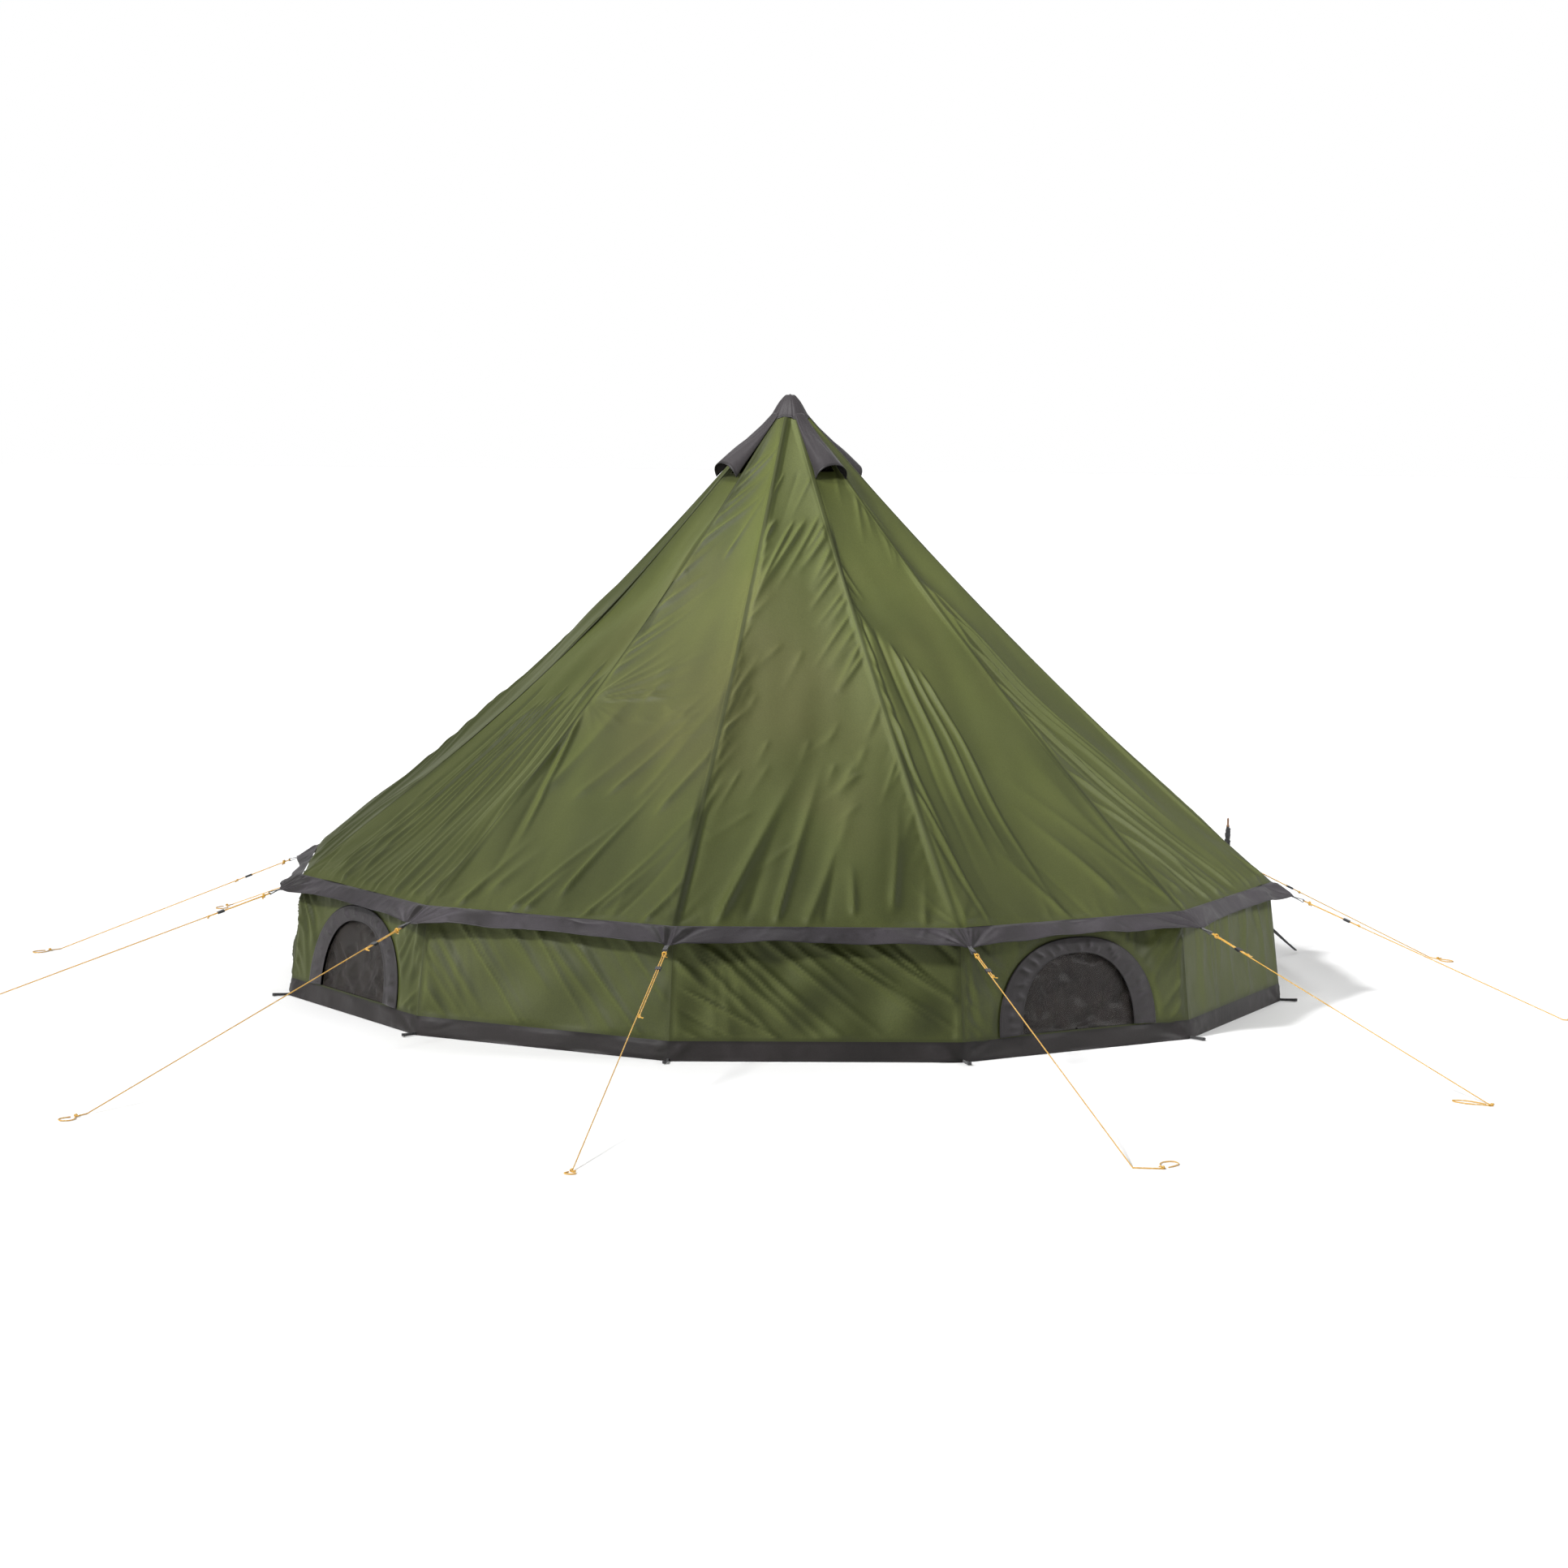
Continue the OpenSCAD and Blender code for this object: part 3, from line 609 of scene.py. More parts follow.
def folds_centre(f):
    """Slanting pleats near the top, short ones along the seams, and broad ones at the lower left."""
    f.row(0.15 * SLOPE, -0.03, 0.10, 0.035, -16, 0.60, 0.010, 0.0085)
    f.row(0.23 * SLOPE, -0.08, 0.20, 0.050, -26, 0.70, 0.011, 0.0190)
    f.comb(1, 0.24 * SLOPE, 0.50 * SLOPE, 0.075, -30, 0.38, 0.010, 0.0140)
    f.comb(-1, 0.30 * SLOPE, 0.60 * SLOPE, 0.090, 150, 0.26, 0.010, 0.0090)
    f.comb(-1, 0.60 * SLOPE, 0.80 * SLOPE, 0.080, 150, 0.36, 0.011, 0.0140)
    f.comb(1, 0.58 * SLOPE, 0.88 * SLOPE, 0.095, -22, 0.32, 0.011, 0.0095)
    f.row(SLOPE, -0.62, -0.05, 0.095, 165, 1.35, 0.017, 0.0330)
    f.row(SLOPE, 0.0, 0.60, 0.12, 172, 0.80, 0.016, 0.0190)
    f.row(0.68 * SLOPE, -0.30, 0.32, 0.12, -22, 0.40, 0.012, 0.0090)
    for _ in range(16):
        f.stroke((f.rng.uniform(-0.25, 0.3), f.rng.uniform(0.45, 0.85) * SLOPE),
                 radians(f.rng.uniform(-50, -20)), f.rng.uniform(0.22, 0.40), 0.014, 0.0055)


def folds_right_centre(f):
    """Steep pleats beside the left seam, all of them alongside it, and a fan from the right eave corner."""
    for i in range(5):
        s = (0.42 + 0.025 * i) * SLOPE
        f.several([(-roof_half_at(s) + 0.03 + 0.062 * i, s)], [radians(-9 + 2.2 * i)],
                  [f.rng.uniform(1.2, 1.9)], 0.010, 0.0270, 1.5, 0.01)
    for i in range(4):
        s = (0.60 + 0.07 * i) * SLOPE
        f.several([(-roof_half_at(s) + 0.02, s)], [radians(-6 + 2 * i)], [1.1], 0.010, 0.0200, 1.4, 0.01)
    f.comb(-1, 0.30 * SLOPE, 0.6 * SLOPE, 0.09, 4, 0.34, 0.009, 0.0110)
    f.comb(1, 0.12 * SLOPE, 0.30 * SLOPE, 0.08, -12, 0.35, 0.009, 0.0070)
    f.row(SLOPE, 0.0, 0.62, 0.12, 194, 0.8, 0.017, 0.0150)
    f.fan((roof_half_at(SLOPE), SLOPE), 184, 212, 5, 1.1, 0.011, 0.0160)


def folds_right(f):
    """Strong slanting pleats that leave the left seam and run side by side to the eave."""
    for i in range(9):
        s = (0.36 + 0.060 * i) * SLOPE
        f.several([(-roof_half_at(s) + 0.012, s)], [radians(17 + 1.4 * i + f.rng.uniform(-2, 2))],
                  [f.rng.uniform(1.3, 1.8)], 0.012, 0.0300, 2.0, 0.02)
    f.comb(-1, 0.18 * SLOPE, 0.36 * SLOPE, 0.12, 14, 0.6, 0.012, 0.0110)
    f.row(SLOPE, -0.55, 0.6, 0.10, 196, 0.40, 0.016, 0.0140)


def folds_any(f):
    """A plausible mix for the panels on the far side."""
    for side in (-1, 1):
        at = f.rng.uniform(0.3, 0.6) * SLOPE
        f.comb(side, at, at + 0.9, 0.11, -side * f.rng.uniform(2, 16), 0.9, 0.012, 0.0110)
    f.row(SLOPE, -0.40, 0.40, 0.11, 180 + f.rng.uniform(-9, 9), 1.0, 0.017, 0.0150)
    f.row(0.15 * SLOPE, -0.06, 0.06, 0.03, f.rng.uniform(-14, 14), 0.6, 0.012, 0.0070)


PANEL_FOLDS = {3: folds_front_left, 4: folds_left_centre, 5: folds_centre, 6: folds_right_centre,
               7: folds_right}


# How far each seam of the roof sags below its plain curve half-way down, and which seam starts each panel.
SEAM_SLACK = {1: 0.040, 2: 0.074, 3: 0.030, 7: 0.008, 8: 0.012}


def stitches(distance, at, width=0.003):
    """1 on a line of stitches that far from an edge, fading within the width."""
    return smooth_step(width, 0, np.abs(distance - at))


def flap_hem(from_edge):
    """The seam and stitch marks of a door flap's hem."""
    return smooth_step(0.022, 0.016, from_edge) * 0.35, stitches(from_edge, 0.018)


def painted_fold_shade_of(height, across):
    """How far the cloth leans to the left, from -1 to 1, which sets the painted shade and highlight on a
    fold's two flanks.
    """
    return np.clip(np.gradient(height, axis=1) / np.gradient(across, axis=1) * 2.9, -1, 1)


def roof_panel(panel, r, y):
    """The grids of the roof's cloth on one panel: points, coordinates in metres, seam, stitch and tilt, the
    last for the painted fold shade.
    """
    s = np.interp(r, SLOPE_R, SLOPE_S)
    seam_half = r * SIN_HALF
    from_seam = seam_half - np.abs(y)
    t = np.clip(y / seam_half, -1, 1)
    z = roof_curve(r)
    if panel == DOOR_PANEL:
        z = z + (roof_straight(r) - z) * smooth_step(0.0, 0.12, from_seam)
    f = Folds(y, s, 100 + panel, roof_half_at)
    PANEL_FOLDS.get(panel, folds_any)(f)
    small_folds(f)
    slack = (SEAM_SLACK.get(panel - 1, 0) * (1 - t) + SEAM_SLACK.get(panel, 0) * (1 + t)) / 2
    soft = Ripples(300 + panel, 0.55)(y, s * 0.6) * 0.0060 + Ripples(400 + panel, 0.20)(y, s * 0.3) * 0.0010
    height = f.height + soft - 0.018 * (1 - t * t) * np.sin(pi * np.clip(s / SLOPE, 0, 1)) ** 0.8
    height *= smooth_step(0.0, 0.035, from_seam) * smooth_step(0.0, 0.12, s - 0.08)
    height *= 0.35 + 0.65 * smooth_step(0.0, 0.05, SLOPE - s)
    if panel == DOOR_PANEL:
        height *= 0.35 + 0.65 * smooth_step(0.0, 0.05, np.abs(np.abs(y) - door_half(r)))
    height += 0.0016 * smooth_step(0.013, 0.008, from_seam)
    height -= slack * np.sin(pi * np.clip(s / SLOPE, 0, 1)) ** 1.5
    slope = np.gradient(roof_curve(SLOPE_R), SLOPE_R * COS_HALF)
    steep = np.arctan(-np.interp(r, SLOPE_R, slope))
    points = np.stack([r * COS_HALF + height * np.sin(steep), y, z + height * np.cos(steep)], -1)
    seam = smooth_step(0.013, 0.007, from_seam) * 0.75
    return turned(points, panel), np.stack([y, s], -1), seam, stitches(from_seam, 0.012), painted_fold_shade_of(height, y)


ROOF_COLS = 128
ROOF_ROWS_ABOVE, ROOF_ROWS_BELOW = 120, 140
VENT_ROOM = (0.215, 0.335, 0.045)       # opening under a hood: inner and outer distance, half width
DOOR_COLS = (16, ROOF_COLS - 16)        # columns beside the doorway


def make_roof():
    split = DOOR_TOP_R + 0.003
    rows = np.concatenate([np.linspace(ROOF_TOP_R, split, ROOF_ROWS_ABOVE + 1),
                           np.linspace(split, EAVE_R, ROOF_ROWS_BELOW + 1)[1:]])
    t = np.linspace(-1, 1, ROOF_COLS + 1)
    strips = []
    for panel in range(SIDES):
        r = np.repeat(rows[:, None], ROOF_COLS + 1, 1)
        across = np.repeat(t[None, :], len(rows), 0) * r * SIN_HALF
        kept = np.ones((len(rows) - 1, ROOF_COLS), bool)
        if panel == DOOR_PANEL:
            edge = door_half(np.maximum(rows, DOOR_TOP_R)) + ZIP_GAP - 0.002
            cols = [0, *DOOR_COLS, ROOF_COLS]
            for i, (side, e) in enumerate(zip(rows * SIN_HALF, edge * np.minimum(1, rows / DOOR_TOP_R))):
                across[i] = np.interp(np.arange(ROOF_COLS + 1), cols, [-side, -e, e, side])
            kept[ROOF_ROWS_ABOVE:, slice(*DOOR_COLS)] = False
        if panel in VENT_PANELS:
            middle = 0.5 * (rows[1:] + rows[:-1]) * COS_HALF
            inside = (middle > VENT_ROOM[0]) & (middle < VENT_ROOM[1])
            kept &= ~(inside[:, None] & (np.abs(quad_centres(across)) < VENT_ROOM[2]))
        last = ROOF_COLS if panel < SIDES - 1 else ROOF_COLS + 1
        points, uv, *marks = roof_panel(panel, r, across)
        grids = [points, uv + np.array([panel * PANEL_CLOTH, 0]), *marks]
        strips.append([grid[:, :last] for grid in grids] + [kept])
    roof = sheet_object("roof_canopy_cloth", CANOPY, "tent", *joined(strips))
    cloth_facts(roof, "roof_canopy", "canopy_cloth", flat=(5.3, 5.2), held="stretched",
                rests_on=["pole_top_cap"], area=22.0)


def make_upper_flap():
    rows = np.linspace(DOOR_TOP_R + 0.007, EAVE_R - 0.001, 141)
    r = np.repeat(rows[:, None], 73, 1)
    across = np.linspace(-1, 1, 73)[None, :] * (door_half(rows)[:, None] - 0.0005)
    # tilt carries the painted shade and highlight on the flap's folds.
    points, uv, _, _, tilt = roof_panel(DOOR_PANEL, r, across)
    from_edge = door_half(r) - np.abs(across)
    flap = sheet_object("door_flap_upper_cloth", CANOPY, "upper_flap", points, uv, *flap_hem(from_edge), tilt)
    cloth_facts(flap, "door_flap_upper", "canopy_cloth", flat=(0.92, 1.72), held="stretched",
                rests_on=["roof_canopy_cloth"], area=1.21)


make_roof()
make_upper_flap()

# ---- eave valance


def valance_points(panel, shares, rows):
    """The valance on one panel, from its seam down to its scalloped hem; shares are -1 to 1 along it."""
    top_r = EAVE_R + 0.002
    bow = 1 - shares ** 2
    upper = np.stack([np.full_like(shares, top_r * COS_HALF), shares * top_r * SIN_HALF,
                      np.full_like(shares, EAVE_H + 0.002)], -1)
    lower = np.stack([TIP_R * COS_HALF - HEM_SCALLOP * bow, shares * TIP_R * SIN_HALF,
                      TIP_H + 0.014 * bow], -1)
    down = np.linspace(0, 1, rows)[:, None, None]
    points = upper + (lower - upper) * down
    s = np.repeat(down[..., 0] * 0.11, len(shares), 1)
    y = np.repeat(shares[None, :] * 0.66, rows, 0)
    f = Folds(y, s, 700 + panel)
    for side in (-1, 1):
        f.fan((side * 0.66, 0.125), 180 + side * 12, 180 + side * 84, 9, 0.42, 0.005, 0.0125, 6)
    f.row(0, -0.6, 0.6, 0.06, 0, 0.08, 0.010, 0.0035)
    f.row(0, -0.6, 0.6, 0.085, 35 * f.rng.choice((-1, 1)), 0.16, 0.007, 0.0060)
    height = f.height + Ripples(720 + panel, 0.35)(y, s) * 0.0045
    height *= smooth_step(0, 0.02, s) * smooth_step(1.0, 0.97, np.abs(shares))[None, :]
    points[..., 0] += height * 0.7
    points[..., 2] += height * 0.7
    seam = np.maximum(smooth_step(0.012, 0.004, s), smooth_step(0.100, 0.106, s)) * 0.5
    stitch = stitches(s, 0.098, 0.002) + stitches(s, 0.010, 0.002)
    # Painted shade and highlight on the folds, with 0.50 added so that the whole valance is painted lighter.
    painted_shade = np.clip(painted_fold_shade_of(height, y) * 1.2 + 0.50, -1, 1)
    return turned(points, panel), np.stack([y + panel * PANEL_CLOTH, s], -1), seam, stitch, painted_shade


def make_valance():
    edge = (DOOR_HALF_W + 0.010) / (EAVE_R * SIN_HALF)
    whole = np.sin(np.linspace(-1, 1, 129) * pi / 2)
    runs = [(DOOR_PANEL, np.linspace(edge, 1, 21))]
    runs += [((DOOR_PANEL + 1 + i) % SIDES, whole) for i in range(SIDES - 1)]
    runs += [(DOOR_PANEL, np.linspace(-1, -edge, 21))]
    strips = [valance_points(panel, shares, 16) for panel, shares in runs]
    valance = sheet_object("eave_valance_cloth", TRIM, "tent", *joined(strips), thickness=0.0015)
    cloth_facts(valance, "eave_valance", "trim_cloth", flat=(14.6, 0.13), held="hung",
                rests_on=["roof_canopy_cloth"], area=1.5)
    edge = (DOOR_HALF_W - 0.022) / (EAVE_R * SIN_HALF)
    grids = valance_points(DOOR_PANEL, np.linspace(-edge, edge, 73), 16)
    flap = sheet_object("door_valance_cloth", TRIM, "upper_flap", *grids, thickness=0.0015)
    cloth_facts(flap, "door_valance", "trim_cloth", flat=(0.92, 0.11), held="hung",
                rests_on=["door_flap_upper_cloth"])


make_valance()

# ---- wall, skirt and windows

WALL_LEAN = atan((BASE_R - WALL_TOP_R) * COS_HALF / WALL_TOP_H)
WALL_LENGTH = WALL_TOP_H / cos(WALL_LEAN)
WALL_HALF = 0.63                        # half a wall panel's width at the eave, less its seam
ARCH_POWER = 2.3                        # a window's outline, between an ellipse and a rectangle


def on_wall(panel, u, v, off):
    """Points on a wall panel: u along it, v up it and off outward from its outer face."""
    c, s = cos(WALL_LEAN), sin(WALL_LEAN)
    points = np.stack([BASE_R * COS_HALF - v * s + off * c, u, v * c + off * s], -1)
    return turned(points, panel)


def wall_half(v):
    return (BASE_R + (WALL_TOP_R - BASE_R) * v / WALL_LENGTH) * SIN_HALF


def arch_outline(half_w, height, v, turn):
    """Points of an arched outline; turn runs from 0 at its right foot to pi at its left one."""
    power = 2 / ARCH_POWER
    c, s = np.cos(turn), np.abs(np.sin(turn))
    return half_w * np.sign(c) * np.abs(c) ** power, v + height * s ** power


def arch_reach(u, v, half_w, height, base=WINDOW_V):
    """1 on the outline of an arch, less inside it and more outside."""
    return (np.abs(u) / half_w) ** ARCH_POWER + (np.clip(v - base, 0, None) / height) ** ARCH_POWER


def wall_folds(panel, u, v):
    """Heights of the folds in a wall panel, which start at its top and at its seams."""
    down = WALL_LENGTH - v
    f = Folds(u, down, 500 + panel, lambda _: WALL_HALF)
    if panel in WINDOW_PANELS:
        for side in (-1, 1):
            f.fan((side * 0.62, 0.0), side * 6, -side * 48, 9, 0.6, 0.009, 0.020, 3)
            f.comb(side, 0.1, 0.45, 0.06, -side * 42, 0.25, 0.010, 0.013)
        f.row(0.0, -0.6, 0.6, 0.06, 0, 0.28, 0.009, 0.012)
    elif panel == 7:
        f.row(0.0, -0.6, 0.6, 0.085, 2, 0.70, 0.018, 0.017)
        f.row(0.0, -0.6, 0.6, 0.06, 8, 0.25, 0.011, 0.006)
    elif panel == DOOR_PANEL:
        f.row(0.0, -0.6, 0.6, 0.10, 6, 0.4, 0.014, 0.005)
    else:
        slant = {4: 38, 5: 52}.get(panel, f.rng.uniform(-45, 45))
        side = -1 if slant > 0 else 1
        strong = 0.030 if panel == 5 else 0.020
        f.row(0.0, -0.75, 0.55, 0.075, slant, 0.95, 0.0095, strong * 0.85)
        f.comb(side, 0.04, 0.42, 0.065, slant + 4, 0.85, 0.0095, strong * 0.75)
        f.fan((side * 0.45, -0.12), 0, -side * 60, 9, 1.0, 0.009, strong * 0.25, 3)
    f.row(0.0, -0.6, 0.6, 0.04, 0, 0.07, 0.008, 0.003)
    f.row(WALL_LENGTH - SKIRT_H, -0.6, 0.6, 0.05, 180, 0.06, 0.008, 0.002)
    soft = Ripples(540 + panel, 0.35)(u, down) * 0.005
    lap = np.clip(WALL_HALF - np.abs(u), 0, None)
    height = (f.height + soft) * smooth_step(0, 0.03, lap) * smooth_step(0, 0.03, v - SKIRT_H)
    if panel in WINDOW_PANELS:
        beyond = arch_reach(u, v, MESH_HALF_W + TRIM_SIDE, MESH_H + TRIM_TOP) ** (1 / ARCH_POWER)
        height *= smooth_step(1.0, 1.10, beyond)
    return height


def wall_grid(v_rows, part):
    """Places up and along a wall panel; part is from -1 to 1 between its seams."""
    return np.repeat(v_rows[:, None], len(part), 1), part[None, :] * wall_half(v_rows)[:, None]


def make_wall():
    v_rows = np.linspace(SKIRT_H - 0.004, WALL_LENGTH, 44)
    edge = (DOOR_HALF_W + ZIP_GAP - 0.002) / 0.635
    strips = []
    for turn in range(SIDES + 1):
        panel = (DOOR_PANEL + turn) % SIDES
        part = np.linspace(-1, 1, 101)
        if panel == DOOR_PANEL:
            part = np.linspace(-1, -edge, 15) if turn else np.linspace(edge, 1, 15)
        v, u = wall_grid(v_rows, part)
        height = wall_folds(panel, u, v)
        from_seam = wall_half(v) - np.abs(u)
        # Painted shade and highlight on the folds, with 0.15 taken off so that the whole wall is painted
        # darker than the roof.
        tilt = np.clip(painted_fold_shade_of(height, u) - 0.15, -1, 1)
        kept = np.ones((len(v_rows) - 1, len(part) - 1), bool)
        if panel in WINDOW_PANELS:
            middle = 0.5 * (v[1:, 1:] + v[:-1, 1:])
            kept &= arch_reach(quad_centres(u), middle, MESH_HALF_W + 0.035, MESH_H + 0.030,
                               WINDOW_V + 0.002) >= 1
            kept |= middle < WINDOW_V - 0.001
            # The strip of wall under each window gets the darkest tone of the painted fold shade.
            tilt[(v < WINDOW_V + 0.010) & (np.abs(u) < MESH_HALF_W + 0.03)] = -1
        if turn:
            kept = np.pad(kept, ((0, 0), (1, 0)))  # no quads between one panel's strip and the next
        seam = np.maximum(smooth_step(0.016, 0.010, from_seam), smooth_step(0.108, 0.100, v)) * 0.45
        strips.append([on_wall(panel, u, v, height + 0.0008), np.stack([u + turn * PANEL_CLOTH, v], -1), seam,
                       stitches(from_seam, 0.012), tilt, kept])
    wall = sheet_object("side_wall_cloth", CANOPY, "tent", *joined(strips))
    cloth_facts(wall, "side_wall", "canopy_cloth", flat=(14.2, 0.49), held="hung",
                rests_on=["roof_canopy_cloth"], area=6.2)


def make_lower_flap():
    v_rows = np.linspace(SKIRT_H + 0.004, LOWER_FLAP_TOP, 36)
    u_row = np.linspace(-DOOR_HALF_W + 0.0005, DOOR_HALF_W - 0.0005, 81)
    v, u = np.repeat(v_rows[:, None], 81, 1), np.repeat(u_row[None, :], 36, 0)
    height = wall_folds(DOOR_PANEL, u, v) * smooth_step(0, 0.05, DOOR_HALF_W - np.abs(u))
    from_edge = np.minimum(DOOR_HALF_W - np.abs(u), LOWER_FLAP_TOP - v)
    points = on_wall(DOOR_PANEL, u, v, height - 0.0008)
    flap = sheet_object("door_flap_lower_cloth", CANOPY, "lower_flap", points, np.stack([u, v], -1),
                        *flap_hem(from_edge))
    cloth_facts(flap, "door_flap_lower", "canopy_cloth", flat=(0.92, 0.40), held="hung",
                rests_on=["ground_skirt_cloth"])


def make_skirt():
    v_rows = np.linspace(0.001, SKIRT_H, 12)
    shares = np.linspace(-1, 1, 65)
    strips = []
    for panel in range(SIDES):
        part = shares[:-1] if panel < SIDES - 1 else shares
        v, u = wall_grid(v_rows, part)
        f = Folds(u, SKIRT_H - v, 800 + panel)
        f.row(0, -0.6, 0.6, 0.07, 25, 0.11, 0.009, 0.0050)
        for side in (-1, 1):
            f.fan((side * 0.635, 0.085), 180 + side * 25, 180 + side * 86, 7, 0.36, 0.006, 0.0085, 4)
        height = (f.height + Ripples(820 + panel, 0.4)(u, v) * 0.003)
        height *= smooth_step(0, 0.02, SKIRT_H - v) * smooth_step(0, 0.02, 0.64 - np.abs(u)) \
            * smooth_step(0, 0.01, v)
        seam = smooth_step(0.076, 0.082, v) * 0.5 + smooth_step(0.016, 0.010, wall_half(v) - np.abs(u)) * 0.4
        uv = np.stack([u + panel * PANEL_CLOTH, v], -1)
        # The last grid is the painted shade and highlight on the skirt's folds.
        strips.append([on_wall(panel, u, v, height + 0.0015), uv, seam, stitches(v, 0.078, 0.002),
                       painted_fold_shade_of(height, u)])
    skirt = sheet_object("ground_skirt_cloth", FLOOR, "tent", *joined(strips))
    cloth_facts(skirt, "ground_skirt", "floor_cloth", flat=(15.5, 0.088), held="stretched",
                rests_on=["groundsheet"])


def make_trims():
    """The cloth round each window, one sheet with a raised inner piping and fanned wrinkles."""
    for number, panel in enumerate(WINDOW_PANELS, 1):
        turn = np.linspace(0, pi, 161)
        share = np.linspace(0, 1, 15)[:, None]
        u_in, v_in = arch_outline(MESH_HALF_W - 0.004, MESH_H - 0.004, WINDOW_V + 0.001, turn)
        u_out, v_out = arch_outline(MESH_HALF_W + TRIM_SIDE, MESH_H + TRIM_TOP, WINDOW_V - 0.006, turn)
        u, v = u_in + (u_out - u_in) * share, v_in + (v_out - v_in) * share
        along = np.repeat(turn[None, :] * 0.4, len(share), 0)
        radial = np.repeat(share * 0.11, len(turn), 1)
        f = Folds(along, radial, 600 + panel)
        f.row(0.0, 0.02, 1.24, 0.050, 12, 0.13, 0.008, 0.0085)
        f.row(0.11, 0.02, 1.24, 0.065, 170, 0.10, 0.009, 0.0080)
        puff = 0.0035 * np.sin(pi * share) + 0.003 * smooth_step(0.10, 0.0, share)
        height = np.clip(f.height, -0.004, 0.009) * np.sin(pi * share) ** 0.7 + puff
        seam = np.maximum(smooth_step(0.09, 0.03, share), smooth_step(0.93, 0.97, share)) * 0.6 + 0 * u
        stitch = stitches(share, 0.92, 0.02) + stitches(share, 0.10, 0.02) + 0 * u
        points, uv = on_wall(panel, u, v, height + 0.0075), np.stack([along, radial], -1)
        # The last grid is the painted shade and highlight on the folds, with 0.25 taken off so that the whole
        # trim is painted darker.
        trim = sheet_object(f"window_trim_cloth_{number}", TRIM, "tent", points, uv, seam, stitch,
                            np.clip(painted_fold_shade_of(height, along) - 0.25, -1, 1), thickness=0.0012)
        cloth_facts(trim, "window_trim", "trim_cloth", flat=(0.89, 0.43), held="stretched",
                    rests_on=["side_wall_cloth"], area=0.125)


def arched_sheet(name, panel, grow, off, material, body, bumps, rings, around):
    """A sheet filling a window's arch, made of arches that shrink towards the middle of its foot."""
    turn = np.linspace(0, pi, around)
    share = np.linspace(0.02, 1, rings)[:, None]
    u, v = arch_outline(1, 1, 0, turn)
    u, v = u * share * (MESH_HALF_W + grow[0]), WINDOW_V + v * share * (MESH_H + grow[1])
    seam = (smooth_step(0.965, 0.985, share) + 0 * u) * 0.6
    # Painted shade and highlight on the flanks of the bumps, through the tilt attribute.
    painted_shade = (bumps(u + 0.003, v) - bumps(u - 0.003, v)) / 0.006
    return sheet_object(name, material, body, on_wall(panel, u, v, off + bumps(u, v)), np.stack([u, v], -1),
                        seam, tilt=np.clip(painted_shade * 2.5, -1, 1))


def mesh_sag(u, v):
    return -0.003 * np.cos(u / MESH_HALF_W * 1.4) * np.sin((v - WINDOW_V) / MESH_H * 3)


def make_windows():
    for number, panel in enumerate(WINDOW_PANELS, 1):
        net = arched_sheet(f"window_mesh_net_{number}", panel, (0, 0), -0.0005, MESH, "tent", mesh_sag,
                           26, 121)
        cloth_facts(net, "window_mesh", "mesh", flat=(0.64, 0.345), held="stretched",
                    rests_on=["side_wall_cloth"], area=0.185)

        def crumpled(u, v, panel=panel):
            f = Folds(u, 0.5 - v, 900 + panel)
            f.fan((-0.30, 0.08), 20, 85, 8, 0.5, 0.012, 0.018, 3)
            f.fan((0.30, 0.10), -20, -80, 7, 0.45, 0.012, 0.016, 3)
            f.row(0.05, -0.3, 0.3, 0.09, 16, 0.4, 0.016, 0.016)
            f.row(0.40, -0.3, 0.3, 0.08, 160, 0.22, 0.014, 0.014)
            rough = Ripples(930 + panel, 0.12)(u, v) * 0.0050
            return -np.clip(0.012 - f.height - rough, 0.0, 0.034) * smooth_step(0.0, 0.03, v - WINDOW_V)

        cover = arched_sheet(f"window_cover_cloth_{number}", panel, (0.015, 0.018), -0.010, COVER,
                             f"cover_{number}", crumpled, 44, 161)
        cloth_facts(cover, f"window_cover_{number}", "cover_cloth", flat=(0.67, 0.363), held="hung",
                    rests_on=["side_wall_cloth"], area=0.205)


make_wall()
make_lower_flap()
make_skirt()
make_trims()
make_windows()

# ---- peak cap and vent hoods

HOOD_FROM, HOOD_TO = 0.085, 0.370       # distance of a hood's two ends from the tent's axis
HOOD_LEAN = (0.45, 0.89)                # its arches stand square to the roof: outward and upward shares


def make_cap():
    """A small twelve-sided cone with a hem that rises between the hoods."""
    around = np.linspace(0, 2 * pi, 145)
    share = np.linspace(0, 1, 22)[:, None]
    ridge = 0.5 + 0.5 * np.cos(4 * around)
    rim = 0.098 + 0.017 * ridge
    r = share * rim * facet(around) ** 0.7
    wrinkle = 0.0016 * np.sin(24 * around + 2 * np.sin(3 * around)) * share \
        + 0.0010 * np.sin(41 * around) * share
    z = roof_curve(r / COS_HALF) + 0.0095 - 0.006 * share ** 3 + wrinkle \
        + 0.021 * smooth_step(0, 0.28, share) * smooth_step(1.0, 0.45, share)
    points = np.stack([r * np.cos(around), r * np.sin(around), z + 0 * r], -1)
    uv = np.stack([around * 0.1 + 0 * r, r], -1)
    seam = smooth_step(0.90, 0.95, share) * 0.6 + 0 * r
    cap = sheet_object("peak_cap_cloth", TRIM, "tent", points, uv, seam, seam * 0.8, thickness=0.002)
    cloth_facts(cap, "peak_cap", "trim_cloth", flat=(0.3, 0.3), held="stretched", rests_on=["pole_top_cap"],
                area=0.052)


